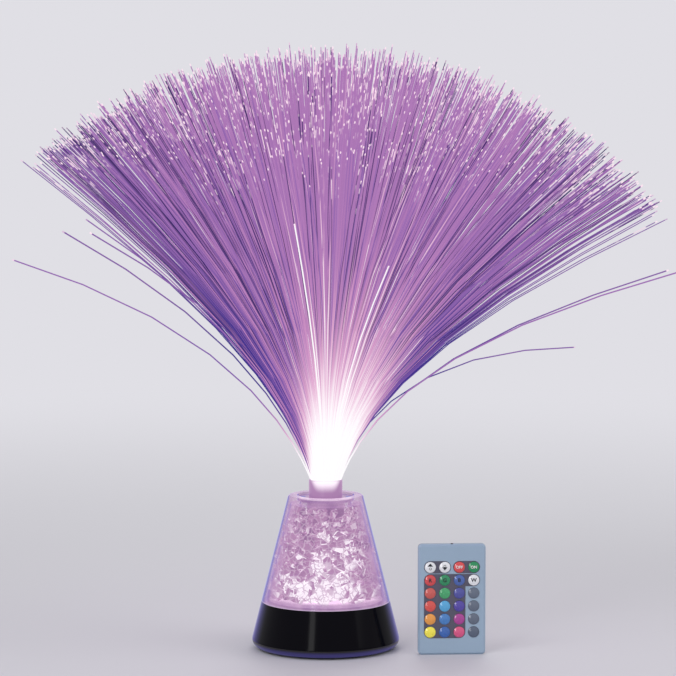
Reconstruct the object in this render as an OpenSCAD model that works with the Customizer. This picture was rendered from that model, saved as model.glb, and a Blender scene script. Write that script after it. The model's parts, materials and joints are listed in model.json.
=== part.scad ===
// Fibre optic lamp: a black base with the electronics, a clear cone of crystal chips lit from below,
// and a plug-in head of plastic fibres that fan out over it. A 24-key remote control stands beside it.
// Lengths are in millimetres and +Z is up. The origin is on the lamp's axis, at the surface that it
// stands on, and the front faces -Y.

/* [Lamp body] */
// Diameter of the base where its side line meets the parting line
base_d = 115; // [112:1:122]
// Diameter of the flat top of the cone
top_d = 58; // [56:1:64]
// Height of the flat top above the surface
cone_h = 120; // [114:1:136]
// Height at which the black base ends and the clear cone begins
base_h = 37; // [36.5:0.5:42]
// Radius of the rounded bottom edge
edge_r = 6; // [5:0.5:7]
// Wall of the black base
base_wall = 2.4; // [2:0.1:2.8]
// Wall of the clear cone
cone_wall = 3; // [2.4:0.1:3.4]
// Width of the flat rim round the recess in the top
rim_w = 7; // [6.5:0.1:7.6]
// Rounding of the rim's outer edge
rim_round = 1.5; // [1:0.25:2]

/* [Foot] */
// Height of the base above the surface
foot_h = 1.2; // [1:0.1:1.8]
// Middle diameter of the foot ring
foot_d = 91; // [90:0.5:93]
// Width of the foot ring
foot_w = 5; // [4:0.5:5.5]

/* [Battery bay] */
// Diameter of one cell
cell_d = 14.5; // [14:0.1:14.6]
// Length of one cell with its nub
cell_l = 50.5; // [49:0.1:50.5]
// Distance between the axes of two cells
cell_pitch = 15; // [14.9:0.1:15.4]
// Depth that a contact leaf springs out
leaf_h = 2.4; // [2:0.1:3]
// Thickness of the battery door
door_t = 2; // [1.8:0.1:2.2]

/* [Light source] */
// Diameter of the board that carries the light source
led_board_d = 20; // [18:1:22]
// Height of the reflector from its narrow end to its flange
reflector_h = 8.4; // [7.4:0.2:8.8]
// Diameter of the reflector's wide mouth
reflector_d = 30; // [28:0.5:31]

/* [Control board] */
// Thickness of the control board
board_t = 1.6; // [1.2:0.1:2]
// Distance of the two rear sockets from the middle plane
port_x = 8; // [7.6:0.1:8.6]
// Travel of the power switch
switch_travel = 3; // [2:0.5:3.5]

/* [Fibre head] */
// Outer diameter of the ferrule
ferrule_d = 26; // [24:0.5:28]
// Wall of the ferrule
ferrule_wall = 1; // [0.8:0.1:1.2]
// Height of the ferrule above the top plate
ferrule_out = 13.8; // [10:0.2:16]
// Length of the ferrule inside its socket
insert_l = 22.7; // [18:0.1:26]
// Length of a fibre beyond the ferrule
fibre_l = 333; // [318:1:345]
// Thickness of one drawn strand
strand_t = 0.9; // [0.7:0.05:1]
// Number of drawn strands, without the loose ones
strand_n = 291; // [291:1:300]
// Angle from upright at which the outer strands end
spread = 52; // [46:1:56]
// Angle that the outer strands on the right lean on beyond that
side_lean = 14; // [0:1:16]
// Length over which a strand bends away from upright
bend_l = 110; // [90:2:130]

/* [Crystal chips] */
// Chips round the cone
chip_sectors = 18; // [16:1:20]
// Layers of chips
chip_layers = 9; // [8:1:10]
// Size of a chip as a share of its cell
chip_fill = 0.92; // [0.88:0.01:0.94]

/* [Remote control] */
// Width of the remote
remote_w = 52; // [51:0.5:55]
// Height of the remote
remote_h = 86; // [84:1:90]
// Thickness of the remote
remote_t = 6.5; // [6.5:0.1:7.5]
// Radius of the remote's corners
remote_r = 3; // [2.5:0.25:4]
// Chamfer round the remote's face
face_edge = 1.5; // [0.8:0.1:1.6]
// Diameter of a key
key_d = 8.4; // [8:0.1:8.6]
// Distance between two key columns
key_dx = 11.2; // [10.8:0.1:11.5]
// Distance between two key rows
key_dy = 10.1; // [10:0.1:10.4]
// Distance of the top row below the remote's top edge
key_top = 17.8; // [17:0.1:19]
// Travel of a key
key_travel = 0.5; // [0.3:0.1:0.5]
// Diameter of the coin cell
coin_d = 20; // [19:0.5:20]
// Place of the remote to the right of the lamp's axis
remote_x = 97; // [92:1:110]
// Place of the remote behind the lamp's axis
remote_y = -25; // [-40:1:0]
// Turn of the remote about the upright
remote_yaw = 3; // [0:1:20]

/* [Hidden] */
KEY_ROWS = 6;
KEY_COLS = 4;

$fn = 48;
cut = 1;            // how far a cutting tool runs past a face
thin_gap = 0.1;     // between faces that all but touch
slip = 0.2;         // round a piece that drops into its seat
loose = 0.3;        // between curved faces that only locate each other
running = 0.06;     // round the ferrule in its socket
play = 0.05;        // round a pin or a screw

// Body profile
edge_z = foot_h + edge_r;                                    // the parting line
slope = (base_d - top_d) / 2 / (cone_h - edge_z);
lean = atan(slope);
function side_r(z) = top_d / 2 + (cone_h - z) * slope;
function inner_r(z, wall) = side_r(z) - wall / cos(lean);
function arc(x, z, r, from, to, n = 8) =
    [for (i = [0:n]) let (a = from + (to - from) * i / n) [x + r * cos(a), z + r * sin(a)]];
edge_x = side_r(edge_z + edge_r * sin(lean)) - edge_r * cos(lean);   // centre of the rounded edge
floor_z = foot_h + base_wall;                                // top of the base's floor
foot_seat = 0.5;                                             // depth of the groove over the foot ring

// Deck, register ring and reflector seat
deck_t = base_wall;
ring_h = 1.2;
ring_w = 2;
ring_r = inner_r(base_h + ring_h, cone_wall) - loose;
flange_t = 1.2;
reflector_wall = 1.2;
led_window_r = 5.2;                                          // the reflector's narrow end
reflector_slope = (reflector_d / 2 - led_window_r) / reflector_h;
reflector_side = reflector_wall * sqrt(1 + pow(reflector_slope, 2));  // the wall measured level
deck_hole_r = reflector_d / 2 + reflector_side + loose;
flange_r = deck_hole_r + 2.2;
reflector_z1 = base_h - flange_t + 0.4;                      // the wide mouth
reflector_z0 = reflector_z1 - reflector_h;                   // the narrow end
led_board_t = 1.6;

// Spigot of the bottom cover inside the shell
spigot_h = 2.5;
spigot_t = 1.6;
spigot_r = inner_r(edge_z + spigot_h, base_wall) - loose;

// Battery bay and door
plate_t = 0.4;
bay_w = 2 * cell_pitch + cell_d + 1.1;
bay_l = cell_l + 2 * plate_t + leaf_h + thin_gap;
bay_wall = 2.6;
bay_roof_t = 1.5;
recess_z = foot_h + door_t + slip;                           // the ledge over the door
cell_z = recess_z + 0.1 + cell_d / 2;
bay_roof_z = cell_z + cell_d / 2 + 0.4;
bay_top_z = bay_roof_z + bay_roof_t;
door_rim = 1.8;                                              // width of the ledge
recess_w = bay_w + 2 * door_rim;
recess_l = bay_l + 2 * door_rim;
door_w = recess_w - 2 * slip;
door_l = recess_l - 2 * slip;
hinge_r = door_t / 2;
hinge_y = -door_l / 2 + hinge_r;
hinge_z = foot_h + hinge_r;
hinge_pin_r = 0.8;
hinge_pin_l = 1.2;
latch_h = 0.15;                                              // how far the latch lip stands out
latch_w = 12;
latch_t = 0.6;
notch_r = 7;                                                 // finger notch behind the latch
notch_y = recess_l / 2 + notch_r - 2.2;

// Screws and their bosses
screw_x = 34;
screw_y = 14;
boss_r = 3.2;
screw_r = 1.2;
screw_l = 12;
screw_head_r = 2.8;
screw_head_h = 2;
pad_r = 4.5;
pad_z = foot_h + 4.2;
head_z = foot_h + 0.6;
rib_t = 1.6;

// Control board
board_z = bay_top_z + 2.1;
board_top = board_z + board_t;
board_w = 40;
board_y0 = -14;
tongue_w = 28;
tongue_l = 7.2;
stake_x = 16;
stake_in = 4;                                                // from the board's front and rear edges
ir_x = 9;                                                    // the receiver, clear of the stakes
ir_d = 3.6;
post_r = 2.6;
stake_r = 1.2;
stake_out = 0.8;                                             // of a stake over the board
// what is soldered on the board: x from and to, y from and to, height
BOARD_CHIPS = [[-13, -6, 18, 24, 1.6], [3, 7, 20, 23, 1.2], [-4, 4, 30, 34, 4.5]];
cap_x = 13;                                                  // the capacitor
cap_y = 24;
cap_r = 2.5;
cap_h = 6;

// Rear sockets, on the control board and through the rear wall
usb_w = 7.6;
usb_h = 2.7;
usb_l = 5.8;
usb_in = 1.8;                                                // of its mouth inside the wall's face
switch_w = 9.4;
switch_h = 3.6;
switch_l = 4.8;
knob_w = 3;
knob_h = 2;
knob_out = 0.8;                                              // of the knob beyond the wall's face
slot_h = 1.2;
switch_over = 1;                                             // of the switch beyond the board's tongue
rear_y = sqrt(pow(side_r(board_top + usb_h / 2), 2) - pow(port_x, 2));   // outside of the wall there
usb_y = rear_y - usb_in;
knob_y = rear_y + knob_out;
switch_y1 = sqrt(pow(inner_r(board_top + switch_h, base_wall), 2) - pow(port_x + switch_w / 2, 2))
    - thin_gap;                                              // the switch's corner at the wall
switch_y0 = switch_y1 - switch_l;
tongue_y = switch_y1 - switch_over;
board_y1 = tongue_y - tongue_l;
stake_y = [board_y0 + stake_in, board_y1 - stake_in];

// Clear cone and its top
top_recess = 1.8;
top_plate_t = 2.2;
ledge_t = 2.5;
ledge_w = 2;
plate_top = cone_h - top_recess;
plate_z = plate_top - top_plate_t;
bore_r = top_d / 2 - rim_w;
tube_wall = 1.5;
ferrule_r = ferrule_d / 2;
socket_r = ferrule_r + running;
lip_w = 1.4;
lip_t = 1.5;
ferrule_z0 = plate_top - insert_l;
ferrule_top = plate_top + ferrule_out;
socket_z0 = ferrule_z0 - lip_t;
diffuser_t = 1.2;
diffuser_top = base_h + diffuser_t;

// Fibres
bundle_r = ferrule_r - ferrule_wall - running;
slice_t = 2;
slice_z = ferrule_top - slice_t;
spray_r = bundle_r - 0.2;
loose_r = spray_r - 1;                                       // the circle that loose strands leave from
root_r = loose_r - 1.3;                                      // the outermost of the others
// the shares of the length at which a strand has its corners: upright ones need fewer
STEEP_STEPS = [0, 0.35, 1];
WIDE_STEPS = [0, 0.12, 0.4, 1];
LOOSE_STEPS = [0, 0.07, 0.16, 0.27, 0.4, 0.56, 0.76, 1];
steep_end = 28;                                              // the end angle of the last upright one
// each loose strand: direction seen from above, end angle, and its length and its bending length as
// shares of the others'
LOOSE = [
    [167, 87, 0.92, 1.68], [145, 84, 0.96, 1.66], [232, 72, 1.02, 1.32], [205, 70, 0.88, 1.5],
    [-16, 77, 0.985, 1.08], [7, 77, 0.95, 1.02], [43, 99, 0.905, 1.07], [262, 62, 0.8, 1],
    [292, 64, 0.7, 0.95]
];

// Crystal chips, in a ring between the light tube and the cone
chip_rings = 2;
chip_z0 = diffuser_top + slip;
chip_z1 = plate_z - ledge_t - loose;
chip_r0 = ferrule_r + tube_wall + 0.5;

// Remote control: heights above its back face
back_t = 0.8;
remote_wall = 1.4;
back_h = 3.8;
tray_z0 = back_t + thin_gap;
tray_t = 2.7;
tray_floor = 0.2;
tray_w = coin_d + 4;
tray_l = coin_d + 5;
tray_slot = 0.3;
remote_board_z = tray_z0 + tray_t + thin_gap;
remote_board_t = 0.6;
mat_t = 0.4;
flange_key_t = 0.4;
key_rest_z = remote_board_z + remote_board_t + thin_gap + key_travel;
face_z = key_rest_z + flange_key_t + thin_gap;
key_flange_d = key_d + 0.9;
key_hole_d = key_d + 0.4;
mat_hole_d = key_flange_d + 0.4;
key_dome = 0.9;
label_t = 0.3;
label_rim = 0.45;                                            // of a dark panel round its outer keys
back_edge = 0.6;                                             // chamfer round the back
ir_led_r = 1.2;
ir_led_z = back_h;
ir_led_out = 0.6;
ir_led_l = 4.8;
ir_led_y0 = remote_h / 2 + ir_led_out - ir_led_l;

module at_screws() {
    for (sx = [-1, 1], sy = [-1, 1]) translate([sx * screw_x, sy * screw_y, 0]) children();
}
module at_stakes() {
    for (sx = [-1, 1], y = stake_y) translate([sx * stake_x, y, 0]) children();
}
module block(x0, x1, y0, y1, z0, z1) {
    translate([x0, y0, z0]) cube([x1 - x0, y1 - y0, z1 - z0]);
}
module drum(r, z0, z1) {
    translate([0, 0, z0]) cylinder(r = r, h = z1 - z0);
}
module pipe(r_in, r_out, z0, z1) {
    rotate_extrude() translate([r_in, z0]) square([r_out - r_in, z1 - z0]);
}

// ---- Foot, bottom cover and battery door ----

module foot_ring() {
    color("#15141a")
        pipe(foot_d / 2 - foot_w / 2, foot_d / 2 + foot_w / 2, 0, foot_h + foot_seat);
}

module bottom_cover() {
    color("#0c0b10")
        difference() {
            union() {
                rotate_extrude($fn = 96) polygon(concat(
                    [[0, foot_h]],
                    arc(edge_x, edge_z, edge_r, -90, 0),
                    [[spigot_r, edge_z], [spigot_r, edge_z + spigot_h],
                     [spigot_r - spigot_t, edge_z + spigot_h], [spigot_r - spigot_t, floor_z],
                     [0, floor_z]]));
                block(-bay_w / 2 - bay_wall, bay_w / 2 + bay_wall,
                      -bay_l / 2 - bay_wall, bay_l / 2 + bay_wall, foot_h, bay_top_z);
                at_screws() drum(pad_r, foot_h, pad_z);
                at_stakes() drum(post_r, floor_z, board_z);
                at_stakes() drum(stake_r, floor_z, board_top + stake_out);
            }
            block(-recess_w / 2, recess_w / 2, -recess_l / 2, recess_l / 2, foot_h - cut, recess_z);
            block(-bay_w / 2, bay_w / 2, -bay_l / 2, bay_l / 2, foot_h, bay_roof_z);
            for (s = [-1, 1]) translate([s * recess_w / 2, hinge_y, hinge_z]) rotate([0, s * 90, 0])
                translate([0, 0, -cut]) cylinder(r = hinge_pin_r + play, h = hinge_pin_l + slip + cut);
            translate([0, notch_y, foot_h - cut]) cylinder(r = notch_r, h = cut + base_wall / 2);
            at_screws() {
                drum(screw_head_r + slip, foot_h - cut, head_z + screw_head_h);
                drum(screw_r + loose, foot_h, pad_z + cut);
            }
            pipe(foot_d / 2 - foot_w / 2 - thin_gap, foot_d / 2 + foot_w / 2 + thin_gap,
                 foot_h - cut, foot_h + foot_seat);
        }
}

module battery_door() {
    color("#121118")
        union() {
            block(-door_w / 2, door_w / 2, hinge_y, door_l / 2, foot_h, foot_h + door_t);
            translate([-door_w / 2, hinge_y, hinge_z]) rotate([0, 90, 0]) cylinder(r = hinge_r, h = door_w);
            for (s = [-1, 1]) translate([s * door_w / 2, hinge_y, hinge_z]) rotate([0, s * 90, 0])
                translate([0, 0, -cut]) cylinder(r = hinge_pin_r, h = hinge_pin_l + cut);
            block(-latch_w / 2, latch_w / 2, door_l / 2 - cut, door_l / 2 + latch_h,
                  hinge_z - latch_t / 2, hinge_z + latch_t / 2);
        }
}

// ---- Cells and contacts ----

// One cell: its flat end rests on a leaf, and the nub on the plate at the other end of the bay
module cell(x, s) {
    nub_h = 1;
    translate([x, s * (-bay_l / 2 + plate_t), cell_z]) rotate([-s * 90, 0, 0])
        rotate_extrude() polygon([
            [0, 0], [2.6, 0], [2.6, nub_h], [cell_d / 2 - 0.5, nub_h], [cell_d / 2, nub_h + 0.5],
            [cell_d / 2, cell_l - 0.5], [cell_d / 2 - 0.5, cell_l], [0, cell_l]]);
}
module battery_1() { color("#7a7f86") cell(-cell_pitch, 1); }
module battery_2() { color("#7a7f86") cell(0, -1); }
module battery_3() { color("#7a7f86") cell(cell_pitch, 1); }

// A plate on the bay's end wall at y = s * bay_l / 2, from x0 to x1
module contact_plate(x0, x1, s) {
    y = s * bay_l / 2;
    block(x0, x1, min(y, y - s * plate_t), max(y, y - s * plate_t), cell_z - 5, cell_z + 5);
}
// A bowed leaf on a plate, at the flat end of a cell
module contact_leaf(x, s) {
    translate([x, s * (bay_l / 2 - plate_t), cell_z - 3])
        linear_extrude(6) polygon([
            for (p = [[-5, 0], [5, 0], [5, 0.3], [1.8, leaf_h], [-1.8, leaf_h], [-5, 0.3]])
                [p[0], -s * p[1]]]);
}
module battery_contacts() {
    color("#c9ccd2")
        union() {
            contact_plate(-cell_pitch - 5.5, -cell_pitch + 5.5, -1);
            contact_plate(-5.5, cell_pitch + 5.5, -1);
            contact_plate(-cell_pitch - 5.5, 5.5, 1);
            contact_plate(cell_pitch - 5.5, cell_pitch + 5.5, 1);
            contact_leaf(-cell_pitch, 1);
            contact_leaf(0, -1);
            contact_leaf(cell_pitch, 1);
        }
}

// ---- Control board and what stands on it ----

module control_board() {
    color("#1c5a38")
        difference() {
            union() {
                block(-board_w / 2, board_w / 2, board_y0, board_y1, board_z, board_top);
                block(-tongue_w / 2, tongue_w / 2, board_y1 - cut, tongue_y, board_z, board_top);
                for (c = BOARD_CHIPS) block(c[0], c[1], c[2], c[3], board_z, board_top + c[4]);
                translate([cap_x, cap_y, board_z]) cylinder(r = cap_r, h = board_t + cap_h);
            }
            at_stakes() drum(stake_r + slip, board_z - cut, board_top + cut);
        }
}

module ir_receiver() {
    color("#1a1620")
        translate([ir_x, board_y0 + ir_d / 2 + 0.4, board_top]) {
            block(-3, 3, -ir_d / 2, ir_d / 2, 0, 6.5);
            translate([0, -ir_d / 2, 3.6]) rotate([90, 0, 0]) cylinder(r = 1.9, h = 1);
        }
}

module usb_port() {
    color("#b9bcc2")
        translate([port_x, 0, board_top])
            difference() {
                block(-usb_w / 2, usb_w / 2, usb_y - usb_l, usb_y, 0, usb_h);
                difference() {
                    block(-usb_w / 2 + 0.35, usb_w / 2 - 0.35, usb_y - usb_l + 1, usb_y + cut,
                          0.35, usb_h - 0.35);
                    block(-1.9, 1.9, usb_y - usb_l, usb_y - 0.8, 1, 1.5);
                }
            }
}

// The switch stands to the left of the middle plane, with its knob at the ON end
module switch_body() {
    color("#2a2a30")
        translate([-port_x, 0, board_top])
            difference() {
                block(-switch_w / 2, switch_w / 2, switch_y0, switch_y1, 0, switch_h);
                block(-(knob_w + switch_travel) / 2 - loose, (knob_w + switch_travel) / 2 + loose,
                      switch_y1 - 2, switch_y1 + cut, (switch_h - slot_h) / 2 - slip,
                      (switch_h + slot_h) / 2 + slip);
            }
}

module switch_knob() {
    color("#101014")
        translate([-port_x + switch_travel / 2, 0, board_top + switch_h / 2])
            difference() {
                union() {
                    block(-knob_w / 2, knob_w / 2, switch_y1 - 1.7, switch_y1 + cut,
                          -slot_h / 2, slot_h / 2);
                    block(-knob_w / 2, knob_w / 2, switch_y1 + slip, knob_y, -knob_h / 2, knob_h / 2);
                }
                for (x = [-0.8, 0.8]) translate([x, knob_y, -knob_h])
                    rotate([0, 0, 45]) cube([0.5, 0.5, 2 * knob_h]);
            }
}

// ---- Light source under the deck ----

module led_header() {
    color("#26262c") block(-1.3, 1.3, -3.8, 3.8, board_top, reflector_z0 - led_board_t);
}

module led_board() {
    color("#e6e6e2") drum(led_board_d / 2, reflector_z0 - led_board_t, reflector_z0);
}

module led_emitter() {
    dome_r = 1.9;
    color("#f3e9f6")
        union() {
            block(-2.5, 2.5, -2.5, 2.5, reflector_z0, reflector_z0 + 1);
            rotate_extrude() polygon(concat([[0, reflector_z0 + 0.5], [dome_r, reflector_z0 + 0.5]],
                arc(0, reflector_z0 + 1, dome_r, 0, 90)));
        }
}

module reflector_cup() {
    r0 = led_window_r;
    r1 = reflector_d / 2;
    side = reflector_side;
    flange_z = base_h - flange_t;
    color("#d8d8de")
        rotate_extrude($fn = 64) polygon([
            [r0, reflector_z0], [r0 + side, reflector_z0],
            [r1 + side - (reflector_z1 - flange_z) * reflector_slope, flange_z],
            [flange_r, flange_z], [flange_r, base_h], [r1, base_h], [r1, reflector_z1]]);
}

// ---- Base shell ----

// The inside of the shell's side wall above the cover's spigot, where the ribs end
module shell_inside(z0, z1) {
    translate([0, 0, z0]) cylinder(r1 = inner_r(z0, base_wall) + 1, r2 = inner_r(z1, base_wall) + 1,
                                   h = z1 - z0, $fn = 96);
}

module base_shell() {
    deck_z = base_h - deck_t;
    boss_z = pad_z + thin_gap;
    rib_z = edge_z + spigot_h + 1;
    seat_r = flange_r + slip;
    usb_z = board_top + usb_h / 2;
    switch_z = board_top + switch_h / 2;
    color("#0c0b10")
        difference() {
            union() {
                rotate_extrude($fn = 96) polygon(concat(
                    arc(edge_x, edge_z, edge_r, 0, lean, 3),
                    [[side_r(base_h), base_h], [ring_r, base_h], [ring_r, base_h + ring_h],
                     [ring_r - ring_w, base_h + ring_h], [ring_r - ring_w, base_h],
                     [seat_r, base_h], [seat_r, base_h - flange_t],
                     [deck_hole_r, base_h - flange_t], [deck_hole_r, deck_z],
                     [inner_r(deck_z, base_wall), deck_z]],
                    arc(edge_x, edge_z, edge_r - base_wall, lean, 0, 3)));
                at_screws() drum(boss_r, boss_z, deck_z + 0.5);
                intersection() {
                    for (s = [-1, 1], y = [-screw_y, screw_y])
                        block(min(s * screw_x, s * base_d / 2), max(s * screw_x, s * base_d / 2),
                              y - rib_t / 2, y + rib_t / 2, rib_z, deck_z + 0.5);
                    shell_inside(rib_z, deck_z + 0.5);
                }
            }
            at_screws() drum(screw_r + play, boss_z - cut, boss_z + 14);
            block(port_x - usb_w / 2 - 0.5, port_x + usb_w / 2 + 0.5, board_y1, base_d,
                  usb_z - usb_h / 2 - 0.5, usb_z + usb_h / 2 + 0.5);
            block(-port_x - (knob_w + switch_travel) / 2 - loose,
                  -port_x + (knob_w + switch_travel) / 2 + loose, board_y1, base_d,
                  switch_z - knob_h / 2 - loose, switch_z + knob_h / 2 + loose);
        }
}

module cover_screws() {
    color("#8d9096")
        at_screws() difference() {
            union() {
                drum(screw_head_r, head_z, head_z + screw_head_h);
                drum(screw_r, head_z + 1, head_z + screw_head_h + screw_l);
            }
            for (a = [0, 90]) rotate([0, 0, a]) block(-1.6, 1.6, -0.35, 0.35, head_z - cut, head_z + 1);
        }
}

// ---- Clear cone ----

module deck_diffuser() {
    tube_r = ferrule_r + tube_wall;
    color([0.9, 0.85, 0.95, 0.7])
        rotate_extrude($fn = 96) polygon([
            [0, base_h], [ring_r - ring_w - slip, base_h], [ring_r - ring_w - slip, diffuser_top],
            [tube_r - tube_wall - slip, diffuser_top], [tube_r - tube_wall - slip, diffuser_top + 1.2],
            [tube_r - tube_wall - slip - 1.4, diffuser_top + 1.2],
            [tube_r - tube_wall - slip - 1.4, diffuser_top], [0, diffuser_top]]);
}

module crystal_shell() {
    lip_z = plate_z - ledge_t;
    ledge_r = bore_r - ledge_w;
    round_x = side_r(cone_h) - rim_round;
    color([0.75, 0.6, 0.85, 0.45])
        rotate_extrude($fn = 96) polygon(concat(
            [[side_r(base_h), base_h], [side_r(cone_h - rim_round), cone_h - rim_round]],
            arc(round_x, cone_h - rim_round, rim_round, 30, 90, 4),
            [[bore_r, cone_h], [bore_r, plate_z], [ledge_r, plate_z], [ledge_r, lip_z],
             [inner_r(lip_z, cone_wall), lip_z], [inner_r(base_h, cone_wall), base_h]]));
}

module light_tube() {
    color([0.9, 0.85, 0.95, 0.6])
        pipe(ferrule_r + thin_gap, ferrule_r + tube_wall, diffuser_top, socket_z0 - thin_gap);
}

module top_plate() {
    socket_out = ferrule_r + tube_wall;
    color([0.85, 0.8, 0.92, 0.7])
        rotate_extrude($fn = 96) polygon([
            [socket_r, plate_top], [socket_r, ferrule_z0], [ferrule_r - lip_w, ferrule_z0],
            [ferrule_r - lip_w, socket_z0], [socket_out, socket_z0], [socket_out, plate_z],
            [bore_r - thin_gap, plate_z], [bore_r - thin_gap, plate_top]]);
}

// Crystal chips: the cells of a shaken lattice round the tube, each shrunk about its own middle.
// Neighbouring cells share corners and diagonals, so no two chips meet.

chip_shake = rands(-1, 1, 3 * chip_sectors * (chip_layers + 1) * (chip_rings + 1), 7);
function shake(s, l, r, k) =
    chip_shake[3 * ((s % chip_sectors) * (chip_layers + 1) * (chip_rings + 1)
                    + l * (chip_rings + 1) + r) + k];
function chip_corner(s, l, r) =
    let (inside_l = l > 0 && l < chip_layers ? 1 : 0,
         inside_r = r > 0 && r < chip_rings ? 1 : 0,
         layer_h = (chip_z1 - chip_z0) / chip_layers,
         z = chip_z0 + layer_h * (l + 0.32 * inside_l * shake(s, l, r, 0)),
         r1 = inner_r(z, cone_wall) - 0.5,
         share = r / chip_rings + 0.12 * inside_r * shake(s, l, r, 1),
         a = 360 / chip_sectors * (s + 0.3 * shake(s, l, r, 2)),
         rr = chip_r0 + (r1 - chip_r0) * share)
    [rr * cos(a), rr * sin(a), z];
CHIP_FACES = [
    [0, 1, 3], [0, 3, 2], [4, 7, 5], [4, 6, 7], [0, 5, 1], [0, 4, 5],
    [2, 3, 7], [2, 7, 6], [0, 2, 6], [0, 6, 4], [1, 7, 3], [1, 5, 7]
];
function mean(points, i = 0) = i == len(points) - 1 ? points[i] : points[i] + mean(points, i + 1);

module crystal_chips() {
    cells = [for (s = [0:chip_sectors - 1], l = [0:chip_layers - 1], r = [0:chip_rings - 1])
        let (corners = [for (ds = [0, 1], dl = [0, 1], dr = [0, 1])
                 chip_corner(s + ds, l + dl, r + dr)],
             middle = mean(corners) / 8)
        [for (c = corners) middle + chip_fill * (c - middle)]];
    color([0.8, 0.66, 0.85, 0.8])
        polyhedron(
            points = [for (c = cells, p = c) p],
            faces = [for (i = [0:len(cells) - 1], f = CHIP_FACES) [for (v = f) 8 * i + v]],
            convexity = 10);
}

// ---- Fibre head ----

module fibre_ferrule() {
    chamfer = 0.4;
    color("#d9bcd6")
        rotate_extrude($fn = 64) polygon([
            [ferrule_r - ferrule_wall, ferrule_z0], [ferrule_r - chamfer, ferrule_z0],
            [ferrule_r, ferrule_z0 + chamfer], [ferrule_r, ferrule_top - chamfer],
            [ferrule_r - chamfer, ferrule_top], [ferrule_r - ferrule_wall, ferrule_top]]);
}

module fibre_bundle() {
    color("#f0dcee") drum(bundle_r, ferrule_z0, slice_z);
}

// A strand leaves the bundle at a quarter of its end angle and bends on towards the whole of it
function strand_angle(end_a, s, bend) = end_a * (1 - 0.75 * exp(-s / bend));
function total(v, i = 0) = i < len(v) ? v[i] + total(v, i + 1) : 0;
function strand_place(end_a, s, bend) =
    let (n = 12, ds = s / n, a = [for (i = [0.5:1:n]) strand_angle(end_a, i * ds, bend)])
    [ds * total([for (t = a) sin(t)]), ds * total([for (t = a) cos(t)])];

// One ring of three corners round a strand that lies in the upright plane at azimuth az
function strand_ring(r0, az, end_a, s, bend, z0) =
    let (p = s > 0 ? strand_place(end_a, s, bend) : [0, 0],
         t = strand_angle(end_a, s, bend),
         r = r0 + p[0], z = z0 + p[1], w = strand_t / sqrt(3))
    [for (k = [0:2]) let (a = 120 * k, u = w * cos(a), v = w * sin(a), rr = r + u * cos(t))
        [rr * cos(az) - v * sin(az), rr * sin(az) + v * cos(az), z - u * sin(t)]];

function strand_points(r0, az, end_a, length, bend, steps) =
    [for (q = steps, p = strand_ring(r0, az, end_a, q * length, bend, slice_z + 1)) p];
function strand_faces(first, rings) = concat(
    [[first, first + 1, first + 2]],
    [for (i = [0:rings - 2], k = [0:2])
        let (a = first + 3 * i + k, b = first + 3 * i + (k + 1) % 3) [a, a + 3, b]],
    [for (i = [0:rings - 2], k = [0:2])
        let (a = first + 3 * i + k, b = first + 3 * i + (k + 1) % 3) [b, a + 3, b + 3]],
    [let (last = first + 3 * (rings - 1)) [last, last + 2, last + 1]]);
function running_sum(v) = [for (i = 0, s = 0; i < len(v); s = s + v[i], i = i + 1) s];

length_spread = 0.025;                                       // of a strand's length, either way
length_shake = rands(-1, 1, strand_n, 11);
GOLDEN = 137.508;

module fibre_spray() {
    even = [for (i = [0:strand_n - 1])
        let (u = sqrt((i + 0.5) / strand_n), az = GOLDEN * i,
             end_a = spread * pow(u, 0.95) + side_lean * pow(max(0, cos(az)), 3) * pow(u, 4))
        [u * root_r, az, end_a, fibre_l * (1 + length_spread * length_shake[i]), bend_l,
         end_a < steep_end ? STEEP_STEPS : WIDE_STEPS]];
    edge = [for (s = LOOSE) [loose_r, s[0], s[1], s[2] * fibre_l, s[3] * bend_l, LOOSE_STEPS]];
    strands = concat(even, edge);
    rings = [for (s = strands) len(s[5])];
    first = running_sum(rings);
    // an unscaled resize keeps the slice and its strands one mesh
    color("#af7db2") resize([0, 0, 0]) union() {
        drum(spray_r, slice_z, ferrule_top, $fn = 32);
        polyhedron(
            points = [for (s = strands, p = strand_points(s[0], s[1], s[2], s[3], s[4], s[5])) p],
            faces = [for (i = [0:len(strands) - 1], f = strand_faces(3 * first[i], rings[i])) f],
            convexity = 10);
    }
}

// ---- Remote control, drawn lying on its back and stood up by place_remote() ----

module place_remote() {
    translate([remote_x, remote_y, remote_h / 2]) rotate([0, 0, remote_yaw]) rotate([90, 0, 0])
        children();
}
module round_slab(w, h, r, z0, z1) {
    translate([0, 0, z0]) linear_extrude(z1 - z0) union() {
        square([w - 2 * r, h], center = true);
        square([w, h - 2 * r], center = true);
        for (sx = [-1, 1], sy = [-1, 1]) translate([sx * (w / 2 - r), sy * (h / 2 - r)]) circle(r = r);
    }
}
function key_x(col) = (col - (KEY_COLS + 1) / 2) * key_dx;
function key_y(row) = remote_h / 2 - key_top - (row - 1) * key_dy;
module at_keys() {
    for (row = [1:KEY_ROWS], col = [1:KEY_COLS]) translate([key_x(col), key_y(row), 0]) children();
}

// The outside of one half, with its far edge chamfered: e0 at the bottom or e1 at the top
module remote_shape(z0, z1, e0, e1) {
    e = max(e0, e1);
    hull() {
        round_slab(remote_w, remote_h, remote_r, z0 + e0, z1 - e1, $fn = 32);
        round_slab(remote_w - 2 * e, remote_h - 2 * e, remote_r - e, z0, z1, $fn = 32);
    }
}

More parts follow.
